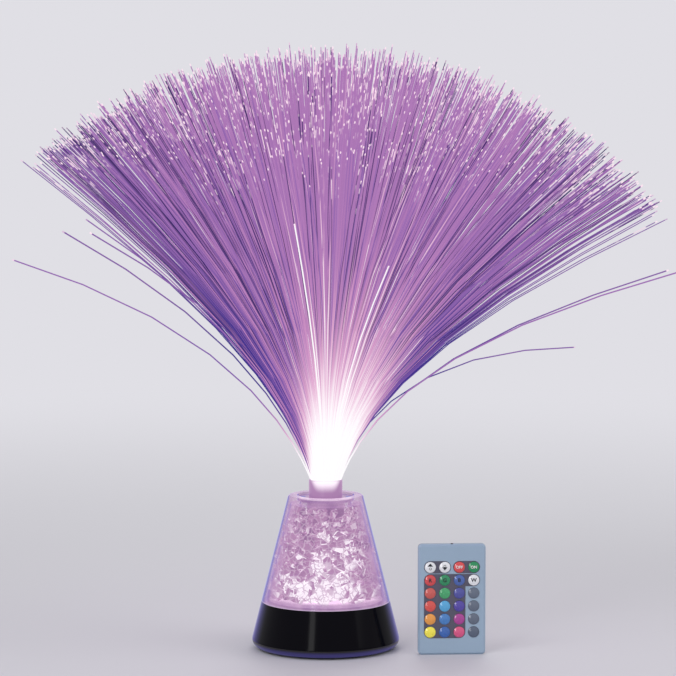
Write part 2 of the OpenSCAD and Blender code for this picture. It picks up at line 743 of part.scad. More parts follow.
module remote_front() {
    w = remote_w - 2 * remote_wall;
    h = remote_h - 2 * remote_wall;
    color("#9db4c4")
        place_remote() difference() {
            remote_shape(back_h, remote_t, 0, face_edge);
            round_slab(w, h, remote_r - remote_wall, back_h - cut, face_z);
            at_keys() drum(key_hole_d / 2, face_z - cut, remote_t + cut);
            label_areas(0, remote_t - label_t, remote_t + cut);
            translate([0, remote_h / 2 + cut, ir_led_z]) rotate([90, 0, 0])
                cylinder(r = ir_led_r + slip, h = remote_wall + 2 * cut);
        }
}

module remote_back() {
    w = remote_w - 2 * remote_wall;
    h = remote_h - 2 * remote_wall;
    lip = 0.7;
    color("#8ea5b6")
        place_remote() difference() {
            union() {
                remote_shape(0, back_h, back_edge, 0);
                round_slab(w - 2 * 0.15, h - 2 * 0.15, remote_r - remote_wall, back_h - cut, back_h + lip);
            }
            round_slab(w - 2 * 0.15 - 1.6, h - 2 * 0.15 - 1.6, 0.8, back_t, back_h + cut);
            block(-tray_w / 2 - tray_slot, tray_w / 2 + tray_slot, -remote_h / 2 - cut,
                  -remote_h / 2 + 5, back_t, back_h);
            translate([0, remote_h / 2 + cut, ir_led_z]) rotate([90, 0, 0])
                cylinder(r = ir_led_r + slip, h = remote_wall + 3 * cut);
        }
}

// The dark panels round the keys: two in the top row, and one round the colour keys. Each outline goes
// round its outer keys at the distance pad from their centres.
function round_key(col, row, pad, from, to) =
    arc(key_x(col), key_y(row), pad, from, to, (to - from) / 15);
function pair_outline(col, pad) =
    concat(round_key(col, 1, pad, 90, 270), round_key(col + 1, 1, pad, -90, 90));
function block_outline(pad) = concat(
    round_key(1, 2, pad, 90, 180), round_key(1, KEY_ROWS, pad, 180, 270),
    round_key(3, KEY_ROWS, pad, -90, 0), [[key_x(3) + pad, key_y(2) - pad]],
    round_key(4, 2, pad, -90, 90));
module label_areas(inset, z0, z1) {
    pad = key_hole_d / 2 + label_rim - inset;
    translate([0, 0, z0]) linear_extrude(z1 - z0)
        for (outline = [pair_outline(1, pad), pair_outline(3, pad), block_outline(pad)])
            polygon(outline);
}

module remote_label() {
    color("#57576a")
        place_remote() difference() {
            label_areas(thin_gap, remote_t - label_t, remote_t);
            at_keys() drum(key_hole_d / 2, remote_t - label_t - cut, remote_t + cut);
        }
}

module remote_board() {
    w = remote_w - 2 * remote_wall - 2 * 1.4;
    h = remote_h - 2 * remote_wall - 2 * 1.4;
    color("#b98b52")
        place_remote() difference() {
            union() {
                block(-w / 2, w / 2, -h / 2, h / 2, remote_board_z, remote_board_z + remote_board_t);
                block(-5, 5, 4, 14, remote_board_z - 1.4, remote_board_z + 0.2);
            }
            block(-2, 2, ir_led_y0 - loose, remote_h, remote_board_z - cut, face_z);
        }
}

module remote_ir_led() {
    straight = ir_led_l - ir_led_r;
    color("#201a2a")
        place_remote() translate([0, ir_led_y0, ir_led_z]) rotate([-90, 0, 0])
            rotate_extrude() polygon(concat([[0, 0]], arc(0, straight, ir_led_r, 0, 90)));
}

module remote_key_mat() {
    w = remote_w - 2 * remote_wall - 2 * 1.2;
    z = remote_board_z + remote_board_t;
    color("#c9c9cf")
        place_remote() difference() {
            block(-w / 2, w / 2, key_y(KEY_ROWS) - 6.5, key_y(1) + 6.5, z, z + mat_t);
            at_keys() drum(mat_hole_d / 2, z - cut, z + mat_t + cut);
        }
}

KEY_COLOURS = [
    ["#f0f1f4", "#f0f1f4", "#e0504f", "#109050"],
    ["#db4d50", "#1a8d5b", "#4664af", "#f0f1f4"],
    ["#ce5a58", "#41a66b", "#4b4ea0", "#606b7e"],
    ["#de504b", "#5aafe1", "#5041a5", "#606b7e"],
    ["#f0a046", "#4682c8", "#af3c96", "#606b7e"],
    ["#fff050", "#3264b4", "#e15587", "#515d72"]
];

// A key: a flange under the shell, a stem through it and a crowned top
module key(row, col) {
    crown_r = (pow(key_d / 2, 2) + pow(key_dome, 2)) / (2 * key_dome);
    rim_z = remote_t + 0.3;
    half = asin(key_d / 2 / crown_r);
    color(KEY_COLOURS[row - 1][col - 1])
        place_remote() translate([key_x(col), key_y(row), 0])
            rotate_extrude($fn = 32) polygon(concat(
                [[0, key_rest_z], [key_flange_d / 2, key_rest_z],
                 [key_flange_d / 2, key_rest_z + flange_key_t],
                 [key_d / 2, key_rest_z + flange_key_t]],
                arc(0, rim_z + key_dome - crown_r, crown_r, 90 - half, 90, 5)));
}

module remote_tray() {
    y0 = -remote_h / 2;
    z1 = tray_z0 + tray_t;
    coin_y = y0 + 2 + coin_d / 2 + loose;
    color("#8ea5b6")
        place_remote() difference() {
            union() {
                block(-tray_w / 2, tray_w / 2, y0, y0 + tray_l, tray_z0, z1);
                for (x = [-6, -3, 0, 3, 6])
                    block(x - 0.4, x + 0.4, y0, y0 + 1, tray_z0, z1);
            }
            translate([0, coin_y, tray_z0 + tray_floor]) cylinder(r = coin_d / 2 + slip, h = tray_t);
        }
}

module coin_cell() {
    coin_y = -remote_h / 2 + 2 + coin_d / 2 + loose;
    color("#c4c7cc")
        place_remote() translate([0, coin_y, 0]) drum(coin_d / 2, tray_z0 + tray_floor, tray_z0 + tray_t);
}

foot_ring();
bottom_cover();
battery_door();
battery_1();
battery_2();
battery_3();
battery_contacts();
control_board();
ir_receiver();
usb_port();
switch_body();
switch_knob();
led_header();
led_board();
led_emitter();
reflector_cup();
base_shell();
cover_screws();
deck_diffuser();
crystal_shell();
crystal_chips();
light_tube();
top_plate();
fibre_ferrule();
fibre_bundle();
fibre_spray();
remote_front();
remote_back();
remote_label();
remote_board();
remote_ir_led();
remote_key_mat();
remote_tray();
coin_cell();
for (row = [1:KEY_ROWS], col = [1:KEY_COLS])
    key(row, col);
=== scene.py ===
import json
import math
import random

import bpy
import numpy as np
from bpy.props import FloatProperty, FloatVectorProperty, IntProperty, PointerProperty
from mathutils import Matrix, Vector


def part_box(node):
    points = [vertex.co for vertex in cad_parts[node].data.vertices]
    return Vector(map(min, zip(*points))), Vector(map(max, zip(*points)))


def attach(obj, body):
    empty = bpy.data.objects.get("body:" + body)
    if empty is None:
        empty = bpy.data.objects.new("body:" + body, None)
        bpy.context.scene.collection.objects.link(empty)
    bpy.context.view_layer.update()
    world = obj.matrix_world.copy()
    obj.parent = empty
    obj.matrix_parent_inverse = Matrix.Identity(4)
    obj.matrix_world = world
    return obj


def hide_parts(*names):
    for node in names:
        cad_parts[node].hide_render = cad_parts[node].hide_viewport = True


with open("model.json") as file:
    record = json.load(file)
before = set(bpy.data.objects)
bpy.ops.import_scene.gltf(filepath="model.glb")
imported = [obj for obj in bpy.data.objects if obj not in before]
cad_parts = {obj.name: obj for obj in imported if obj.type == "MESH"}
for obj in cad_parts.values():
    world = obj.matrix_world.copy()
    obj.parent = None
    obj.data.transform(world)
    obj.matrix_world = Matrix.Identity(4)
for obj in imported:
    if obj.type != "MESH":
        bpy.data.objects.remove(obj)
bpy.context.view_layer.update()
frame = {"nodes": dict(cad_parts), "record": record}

bl_info = {
    "name": "Fibre Optic Lamp",
    "version": (1, 0, 0),
    "blender": (4, 5, 0),
    "location": "3D View > Sidebar > Fibre Lamp",
    "description": "Dresses a fibre optic lamp and its remote control",
    "category": "Object",
}

MM = 0.001


def srgb(red, green, blue):
    """A colour given as 0 to 255 per channel, in the linear values that shaders take."""
    def linear(level):
        share = level / 255
        return share / 12.92 if share <= 0.04045 else ((share + 0.055) / 1.055) ** 2.4
    return linear(red), linear(green), linear(blue), 1.0


def colour_prop(name, description, *default):
    """A colour in the sidebar, with its default as 0 to 255 per channel."""
    return FloatVectorProperty(
        name=name, description=description, default=srgb(*default), subtype="COLOR", size=4, min=0, max=1)


def length_prop(name, description, default, low, high):
    """A length in the sidebar, in metres."""
    return FloatProperty(
        name=name, description=description, default=default, min=low, max=high, unit="LENGTH", precision=5)


def angle_prop(name, description, degrees, low, high):
    """An angle in the sidebar, with its default in degrees."""
    return FloatProperty(
        name=name, description=description, default=math.radians(degrees), min=low, max=high,
        unit="ROTATION")


class FibreSettings(bpy.types.PropertyGroup):
    """Sizes and colours of the fibre head"""
    count: IntProperty(
        name="Fibres", description="Fibres in the even part of the spray", default=2800, min=200, max=3000)
    diameter: length_prop("Diameter", "Thickness of one fibre", 0.64 * MM, 0.3 * MM, 1.2 * MM)
    bead: length_prop("End bead", "Thickness of the flared end of a fibre", 1.0 * MM, 0.5 * MM, 2 * MM)
    length: length_prop("Length", "Length of a fibre beyond the bundle", 333 * MM, 0.1, 0.5)
    spread: angle_prop("Spread", "Angle from upright at which the outer fibres end", 52, 0.2, 1.3)
    side_lean: angle_prop(
        "Lean to the right", "Angle that the outer fibres on the right lean on beyond that", 14, 0, 0.5)
    bend: length_prop("Bend", "Length over which a fibre bends outwards", 110 * MM, 0.02, 0.2)
    hot: colour_prop("Hot light", "Light just above the ferrule", 255, 252, 255)
    warm: colour_prop("Warm light", "Light where the hot light fades", 238, 186, 216)
    core: colour_prop("Core light", "Light in the upright fibres", 198, 138, 192)
    side: colour_prop("Side light", "Light in the outer fibres", 128, 90, 170)
    deep: colour_prop("Deep light", "Light in the blue fibres", 60, 48, 138)
    dim: colour_prop("Dim light", "Light in the fibres that catch least", 36, 26, 92)
    tip: colour_prop("End light", "Light at the cut ends", 255, 228, 242)


class CrystalSettings(bpy.types.PropertyGroup):
    """Sizes and colours of the crystal chips"""
    count: IntProperty(
        name="Chips", description="Crystal chips in the cone", default=1100, min=100, max=2400)
    low_size: length_prop("Low chips", "Size of the chips at the bottom", 13 * MM, 2 * MM, 16 * MM)
    high_size: length_prop("High chips", "Size of the chips at the top", 6 * MM, 2 * MM, 14 * MM)
    dark: colour_prop("Shaded facets", "Light in the facets that turn away", 142, 104, 146)
    mid: colour_prop("Facets", "Light in most facets", 176, 134, 172)
    bright: colour_prop("Bright facets", "Light in the facets that catch it", 255, 246, 254)


class BodySettings(bpy.types.PropertyGroup):
    """Colours of the base, the clear cone and the ferrule"""
    base: colour_prop("Base", "Gloss black plastic of the base", 6, 5, 11)
    rim_glow: colour_prop("Edge glow", "Blue-violet light along the edges", 78, 70, 168)
    wall: colour_prop("Clear wall", "Tint of the clear cone", 190, 152, 190)
    ferrule: colour_prop("Ferrule", "Milky plastic of the ferrule", 156, 118, 156)


class RemoteSettings(bpy.types.PropertyGroup):
    """Colours of the remote control"""
    front: colour_prop("Front", "Plastic of the front half", 154, 176, 198)
    back: colour_prop("Back", "Plastic of the back half", 128, 146, 164)
    panel: colour_prop("Panels", "Dark panels round the keys", 86, 84, 102)


class StageSettings(bpy.types.PropertyGroup):
    """Camera, floor and light"""
    floor: colour_prop("Floor", "Pale floor", 214, 213, 219)
    background: colour_prop("Background", "Pale background", 224, 223, 229)
    world_light: FloatProperty(
        name="Room light", description="Strength of the light from all round", default=0.55, min=0, max=3)
    lens: FloatProperty(
        name="Lens", description="Focal length of the camera", default=0.1729, min=0.02, max=0.5,
        unit="CAMERA")
    tilt: angle_prop("Tilt", "Angle at which the camera looks down", 5.5, -1.5, 1.5)


def settings():
    """The lamp's settings in this scene."""
    return bpy.context.scene.fibre_lamp


# ---- Modelling helpers ----


def mode(name):
    """Puts the active object into a mode."""
    bpy.ops.object.mode_set(mode=name)


def deselect_all():
    """Leaves nothing selected, so that operators act on what they add."""
    if bpy.context.object and bpy.context.object.mode != "OBJECT":
        mode("OBJECT")
    bpy.ops.object.select_all(action="DESELECT")


def select_only(*pieces):
    """Makes the pieces the selected objects, and the first of them the active one."""
    deselect_all()
    for piece in pieces:
        piece.select_set(True)
    bpy.context.view_layer.objects.active = pieces[0]


def edit_all(piece):
    """Opens piece in edit mode with the whole of its mesh selected."""
    select_only(piece)
    mode("EDIT")
    bpy.ops.mesh.select_all(action="SELECT")


def edit_parts(piece, vertices=None, edges=None):
    """Opens piece in edit mode with the vertices or edges selected that pass the given test."""
    select_only(piece)
    mesh = piece.data
    mode("EDIT")
    bpy.ops.mesh.select_mode(type="VERT" if vertices else "EDGE")
    bpy.ops.mesh.select_all(action="DESELECT")
    mode("OBJECT")
    if vertices:
        for vertex in mesh.vertices:
            vertex.select = vertices(vertex.co)
    else:
        for edge in mesh.edges:
            edge.select = edges(*(mesh.vertices[v].co for v in edge.vertices))
    mode("EDIT")


def face_outwards():
    """Turns the faces of the mesh in edit mode outwards and leaves edit mode."""
    bpy.ops.mesh.select_all(action="SELECT")
    bpy.ops.mesh.normals_make_consistent(inside=False)
    mode("OBJECT")


def bake_place(piece):
    """Puts the object's place into its mesh."""
    select_only(piece)
    bpy.ops.object.transform_apply(location=True, rotation=True, scale=True)


def join(*pieces):
    """Joins the pieces into the first of them."""
    select_only(*pieces)
    bpy.ops.object.join()
    return bpy.context.object


def joined_copies(name, master, places, flat):
    """One mesh of many copies of master. places holds each copy's vertices."""
    count, size = places.shape[:2]
    faces = [tuple(face.vertices) for face in master.data.polygons]
    mesh = bpy.data.meshes.new(name)
    mesh.from_pydata(
        places.reshape(-1, 3).tolist(), [],
        [tuple(v + i * size for v in face) for i in range(count) for face in faces], shade_flat=flat)
    mesh.update()
    piece = bpy.data.objects.new(name, mesh)
    bpy.context.scene.collection.objects.link(piece)
    return piece


def vertex_places(piece):
    """The places of a mesh's vertices as an array."""
    return np.array([v.co for v in piece.data.vertices], float)


def store(piece, name, values, domain="POINT"):
    """Keeps a number for each vertex or face, for the material to read."""
    attribute = piece.data.attributes.new(name, "FLOAT", domain)
    attribute.data.foreach_set("value", np.asarray(values, np.float32).ravel())


def remove(*pieces):
    """Deletes the masters that copies were made from."""
    for piece in pieces:
        bpy.data.objects.remove(piece)


# ---- Material helpers ----


class Nodes:
    """A node tree under construction, with short calls for its nodes and links"""

    def __init__(self, tree):
        self.tree = tree

    def fill(self, socket, value):
        """Feeds a socket from an output, or sets it to a fixed value."""
        if isinstance(value, bpy.types.NodeSocket):
            self.tree.links.new(value, socket)
        else:
            socket.default_value = value

    def node(self, kind, sockets=None, **attributes):
        """A new node with its settings, and its sockets fed or set."""
        node = self.tree.nodes.new("ShaderNode" + kind)
        for key, value in attributes.items():
            setattr(node, key, value)
        for key, value in (sockets or {}).items():
            self.fill(node.inputs[key], value)
        return node

    def maths(self, operation, first, second=0.0):
        """A Math node on two outputs or numbers."""
        return self.node("Math", {0: first, 1: second}, operation=operation).outputs[0]

    def product(self, first, *others):
        """The product of outputs or numbers."""
        for other in others:
            first = self.maths("MULTIPLY", first, other)
        return first

    def largest(self, first, *others):
        """The largest of outputs or numbers."""
        for other in others:
            first = self.maths("MAXIMUM", first, other)
        return first

    def scaled(self, vector, scale):
        """A vector or colour times a number."""
        return self.node("VectorMath", {0: vector, "Scale": scale}, operation="SCALE").outputs[0]

    def step(self, value, low, high, to_low=0.0, to_high=1.0):
        """Maps value from low..high to to_low..to_high, smoothly and clamped."""
        sockets = {"Value": value, "From Min": low, "From Max": high, "To Min": to_low, "To Max": to_high}
        return self.node("MapRange", sockets, interpolation_type="SMOOTHSTEP").outputs["Result"]

    def fall(self, value, low, high):
        """Falls smoothly from 1 at low to 0 at high."""
        return self.step(value, low, high, 1.0, 0.0)

    def mix(self, share, first, second, blend="MIX"):
        """Mixes two colours by share. Each of the three is an output or fixed."""
        node = self.node("Mix", data_type="RGBA", blend_type=blend)
        for key, value in (("Factor", share), ("A", first), ("B", second)):
            self.fill(next(s for s in node.inputs if s.name == key and s.enabled), value)
        return next(s for s in node.outputs if s.enabled)

    def darker(self, colour, share):
        """A share of a colour: what a surface that gives light reflects beside it."""
        return self.mix(1.0, colour, (share, share, share, 1), "MULTIPLY")

    def ramp(self, source, stops, interpolation="LINEAR"):
        """A colour ramp fed by source, with stops of place and colour."""
        node = self.node("ValToRGB", {"Fac": source})
        node.color_ramp.interpolation = interpolation
        elements = node.color_ramp.elements
        while len(elements) < len(stops):
            elements.new(0.5)
        for element, (place, colour) in zip(elements, stops):
            element.position = place
            element.color = colour
        return node.outputs["Color"]

    def noise(self, vector, scale, detail):
        """The outputs of a cloudy noise."""
        return self.node("TexNoise", {"Vector": vector, "Scale": scale, "Detail": detail}).outputs

    def attribute(self, name):
        """A number that the mesh holds."""
        return self.node("Attribute", attribute_name=name).outputs["Fac"]

    def place(self):
        """The Object coordinates: the vector, and its three axes."""
        vector = self.node("TexCoord").outputs["Object"]
        split = self.node("SeparateXYZ", {"Vector": vector}).outputs
        return vector, split["X"], split["Y"], split["Z"]

    def radius(self):
        """The distance from the lamp's axis."""
        _, x, y, _ = self.place()
        flat = self.node("CombineXYZ", {"X": x, "Y": y}).outputs[0]
        return self.node("VectorMath", {0: flat}, operation="LENGTH").outputs["Value"]

    def slant(self):
        """0 on an upright face, 1 on a level one."""
        normal = self.node("TexCoord").outputs["Normal"]
        return self.maths("ABSOLUTE", self.node("SeparateXYZ", {"Vector": normal}).outputs["Z"])

    def facing(self, blend):
        """0 on a face towards the eye, 1 on one that it grazes."""
        return self.node("LayerWeight", {"Blend": blend}).outputs["Facing"]

    def show(self, share, first, second, output):
        """Shows a blend of two shaders."""
        blend = self.node("MixShader", {0: share, 1: first.outputs[0], 2: second.outputs[0]})
        self.fill(self.tree.nodes[output].inputs["Surface"], blend.outputs[0])

    def seen(self):
        """1 for what the camera, gloss and glass see, 0 for light that falls on things."""
        path = self.node("LightPath").outputs
        return self.largest(path["Is Camera Ray"], path["Is Glossy Ray"], path["Is Transmission Ray"])


def moulded_group():
    """The shared finish of moulded parts: cloudy colour, uneven gloss and a fine grain."""
    name = "Moulded finish"
    if name in bpy.data.node_groups:
        return bpy.data.node_groups[name]
    group = bpy.data.node_groups.new(name, "ShaderNodeTree")
    for way, kind, keys in (
            ("INPUT", "Color", ("Colour",)),
            ("INPUT", "Float", ("Cloud Scale", "Cloud Depth", "Grain Scale", "Gloss Low", "Gloss High")),
            ("OUTPUT", "Color", ("Colour",)), ("OUTPUT", "Float", ("Roughness", "Height"))):
        for key in keys:
            group.interface.new_socket(key, in_out=way, socket_type="NodeSocket" + kind)
    entry = group.nodes.new("NodeGroupInput").outputs
    leave = group.nodes.new("NodeGroupOutput").inputs
    nodes = Nodes(group)
    place = nodes.node("TexCoord").outputs["Object"]
    clouds = nodes.noise(place, entry["Cloud Scale"], 3.0)["Fac"]
    grain = nodes.noise(place, entry["Grain Scale"], 2.0)["Fac"]
    swing = nodes.product(nodes.maths("SUBTRACT", clouds, 0.5), entry["Cloud Depth"], 2.0)
    span = nodes.maths("SUBTRACT", entry["Gloss High"], entry["Gloss Low"])
    nodes.fill(leave["Colour"], nodes.scaled(entry["Colour"], nodes.maths("ADD", swing, 1.0)))
    nodes.fill(leave["Roughness"], nodes.maths("ADD", nodes.product(clouds, span), entry["Gloss Low"]))
    nodes.fill(leave["Height"], grain)
    return group


class Material(Nodes):
    """A material under construction"""

    def __init__(self, name):
        self.material = bpy.data.materials.new(name)
        self.material.use_nodes = True
        super().__init__(self.material.node_tree)
        self.surface = self.tree.nodes["Principled BSDF"]

    def set(self, **values):
        """Feeds or sets sockets of the surface, where Base_Color stands for Base Color."""
        for key, value in values.items():
            self.fill(self.surface.inputs[key.replace("_", " ")], value)
        return self.material

    def shine(self, colour, strength, **values):
        """Makes the surface give light, and sets or feeds other sockets."""
        return self.set(Emission_Color=colour, Emission_Strength=strength, **values)

    def mould(self, colour, gloss, grain, clouds):
        """The moulded finish. gloss is least and most roughness, the others are scale and strength."""
        finish = self.node("Group", {
            "Colour": colour, "Cloud Scale": clouds[0], "Cloud Depth": clouds[1],
            "Grain Scale": grain[0], "Gloss Low": gloss[0], "Gloss High": gloss[1],
        }, node_tree=moulded_group()).outputs
        bump = self.node("Bump", {"Height": finish["Height"], "Strength": grain[1], "Distance": 0.1 * MM})
        return self.set(
            Base_Color=finish["Colour"], Roughness=finish["Roughness"], Normal=bump.outputs["Normal"])


def plastic(name, colour, gloss=(0.35, 0.55), grain=(1500.0, 0.06), clouds=(60.0, 0.12)):
    """Moulded plastic or rubber of one colour."""
    return Material(name).mould(colour, gloss, grain, clouds)


def metal(name, colour, gloss=(0.2, 0.35), grain=(2500.0, 0.04)):
    """Plated or rolled metal."""
    mat = Material(name)
    mat.mould(colour, gloss, grain, (150.0, 0.12))
    return mat.set(Metallic=1.0)


def dress(material, *names):
    """Gives CAD nodes a material."""
    for name in names:
        slots = frame["nodes"][name].material_slots
        if not slots:
            frame["nodes"][name].data.materials.append(material)
        for slot in slots:
            slot.link = "OBJECT"
            slot.material = material


# ---- Fibres ----

FIBRE_SIDES = 4
WIDTH_FIX = math.pi / math.sqrt(8)    # makes a four-sided fibre as wide as a round one to the eye
FIBRE_SHARES = (0, 0.025, 0.06, 0.11, 0.18, 0.28, 0.42, 0.6, 0.8)    # of its length, closer near the root
LINE_STEPS = 48            # in which the bend of a fibre is added up
BEAD_LENGTH = 1.6 * MM
BEAD_END = 0.72            # width of a bead's end face, of the bead
GOLDEN = math.radians(137.508)
ROOT_SHARE = 0.25          # share of its end angle at which a fibre leaves the bundle
ROOT_MARGIN = 1.4 * MM     # from the bundle's edge to the outermost even fibre
LOOSE_WIDTH = 1.5          # how much thicker a loose fibre is drawn, for its glow
SPRAY_PARTS = (("fibres_inner", 0.5), ("fibres_middle", 0.8), ("fibres_outer", 1.0))    # and where they end
BRIGHT_STREAKS = 0.05      # share of the fibres in which the hot light reaches further
DIM_STREAKS = 0.05         # share of the fibres that catch least, near the middle
# the loose fibres: direction seen from above, end angle, length and bending length in millimetres, how
# blue their light is and the share of their length that the hot light fills
LOOSE = [
    (167, 87, 306, 185, 0.55, 0.1), (232, 72, 340, 146, 0.8, 0.08), (157, 72, 286, 185, 0.7, 0.1),
    (205, 70, 293, 165, 0.85, 0.08), (-16, 77, 328, 119, 0.45, 0.12), (7, 77, 316, 112, 0.8, 0.08),
    (43, 99, 301, 118, 0.95, 0.08), (264, 57, 292, 110, 0.05, 1.6), (287, 57, 236, 110, 0.05, 1.6),
]


def fibre_stations(length):
    """Where a fibre's rings lie along it, with three at the flared end."""
    body = [length * share for share in FIBRE_SHARES]
    return body + [length - BEAD_LENGTH, length - 0.6 * BEAD_LENGTH, length]


def fibre_master(radius, bead):
    """One straight fibre, one unit long, with a flared end that is modelled once for all."""
    cuts = len(fibre_stations(1.0)) - 2
    deselect_all()
    bpy.ops.mesh.primitive_cylinder_add(vertices=FIBRE_SIDES, radius=radius, depth=1, location=(0, 0, 0.5))
    fibre = bpy.context.object
    bake_place(fibre)
    edit_parts(fibre, edges=lambda a, b: abs(a.z - b.z) > 0.5)
    bpy.ops.mesh.subdivide(number_cuts=cuts)
    for share, size in ((cuts / (cuts + 1), bead), (1.0, BEAD_END * bead)):
        edit_parts(fibre, vertices=lambda co, share=share: abs(co.z - share) < 1e-4)
        bpy.ops.transform.resize(value=(size / radius / 2, size / radius / 2, 1))
    mode("OBJECT")
    return fibre


def fibre_line(end_angle, length, bend, stations):
    """Distance outwards, height and angle at each station of a bending fibre."""
    s = np.linspace(0, length, LINE_STEPS + 1)
    middle = (s[1:] + s[:-1]) / 2
    angle = end_angle * (1 - (1 - ROOT_SHARE) * np.exp(-middle / bend))
    ds = length / LINE_STEPS
    out = np.concatenate([[0], np.cumsum(np.sin(angle)) * ds])
    up = np.concatenate([[0], np.cumsum(np.cos(angle)) * ds])
    return np.interp(stations, s, out), np.interp(stations, s, up), np.interp(stations, middle, angle)


def bent_fibre(shape, ring, root, turn, line):
    """The places of one fibre's vertices, bent along line in upright planes that stand at turn."""
    out, up, angle = line
    u, v = shape[:, 0], shape[:, 1]
    reach = out[ring] + u * np.cos(angle[ring])
    x = root[0] + reach * np.cos(turn) - v * np.sin(turn)
    y = root[1] + reach * np.sin(turn) + v * np.cos(turn)
    z = root[2] + up[ring] - u * np.sin(angle[ring])
    return np.stack([x, y, z], 1)


def fibre_material(values):
    """Light that runs through a fibre: hot at the root, lilac in the core, blue-violet outside, with
    painted highlights in short streaks near the end.
    """
    mat = Material("Glowing fibre")
    along, glow, blue, dim, highlight_cluster, seed = map(
        mat.attribute, ("along", "glow", "blue", "dim", "highlight_cluster", "seed"))
    depth = mat.product(blue, mat.step(along, 0.0, 0.4, 0.65, 1.0))
    body = mat.ramp(depth, [(0.25, values.core), (0.55, values.side), (0.85, values.deep)])
    higher = mat.mix(0.6, values.core, values.side)
    body = mat.mix(mat.step(along, 0.35, 0.75, 0.0, 0.6), body, higher)
    body = mat.mix(mat.product(dim, mat.step(along, 0.2, 0.5, 0.15, 1.0)), body, values.dim)
    reach = mat.maths("DIVIDE", along, glow)
    lit = mat.mix(mat.step(reach, 0.7, 2.4, 0.95, 0.0), body, values.warm)
    lit = mat.mix(mat.fall(reach, 0.5, 1.5), lit, values.hot)
    # Painted highlights: short pinkish-white streaks near the ends of the fibres, gathered in groups, in
    # the end light's colour.
    spot = mat.node("CombineXYZ", {"X": mat.product(along, 42.0), "Y": mat.product(seed, 900.0)})
    highlight_dashes = mat.noise(spot.outputs[0], 1.0, 0.0)["Fac"]
    painted_highlight = mat.product(
        mat.step(along, 0.84, 0.95), mat.step(highlight_cluster, 0.55, 0.8), mat.step(highlight_dashes, 0.5, 0.62), 0.85)
    end = mat.product(mat.step(along, 0.993, 0.995), mat.step(seed, 0.1, 0.8, 0.35, 1.0))
    for share in (painted_highlight, end):
        lit = mat.mix(share, lit, values.tip)
    return mat.shine(
        lit, 0.92, Base_Color=mat.darker(lit, 0.12), Roughness=0.3, IOR=1.49, Specular_IOR_Level=0.08)


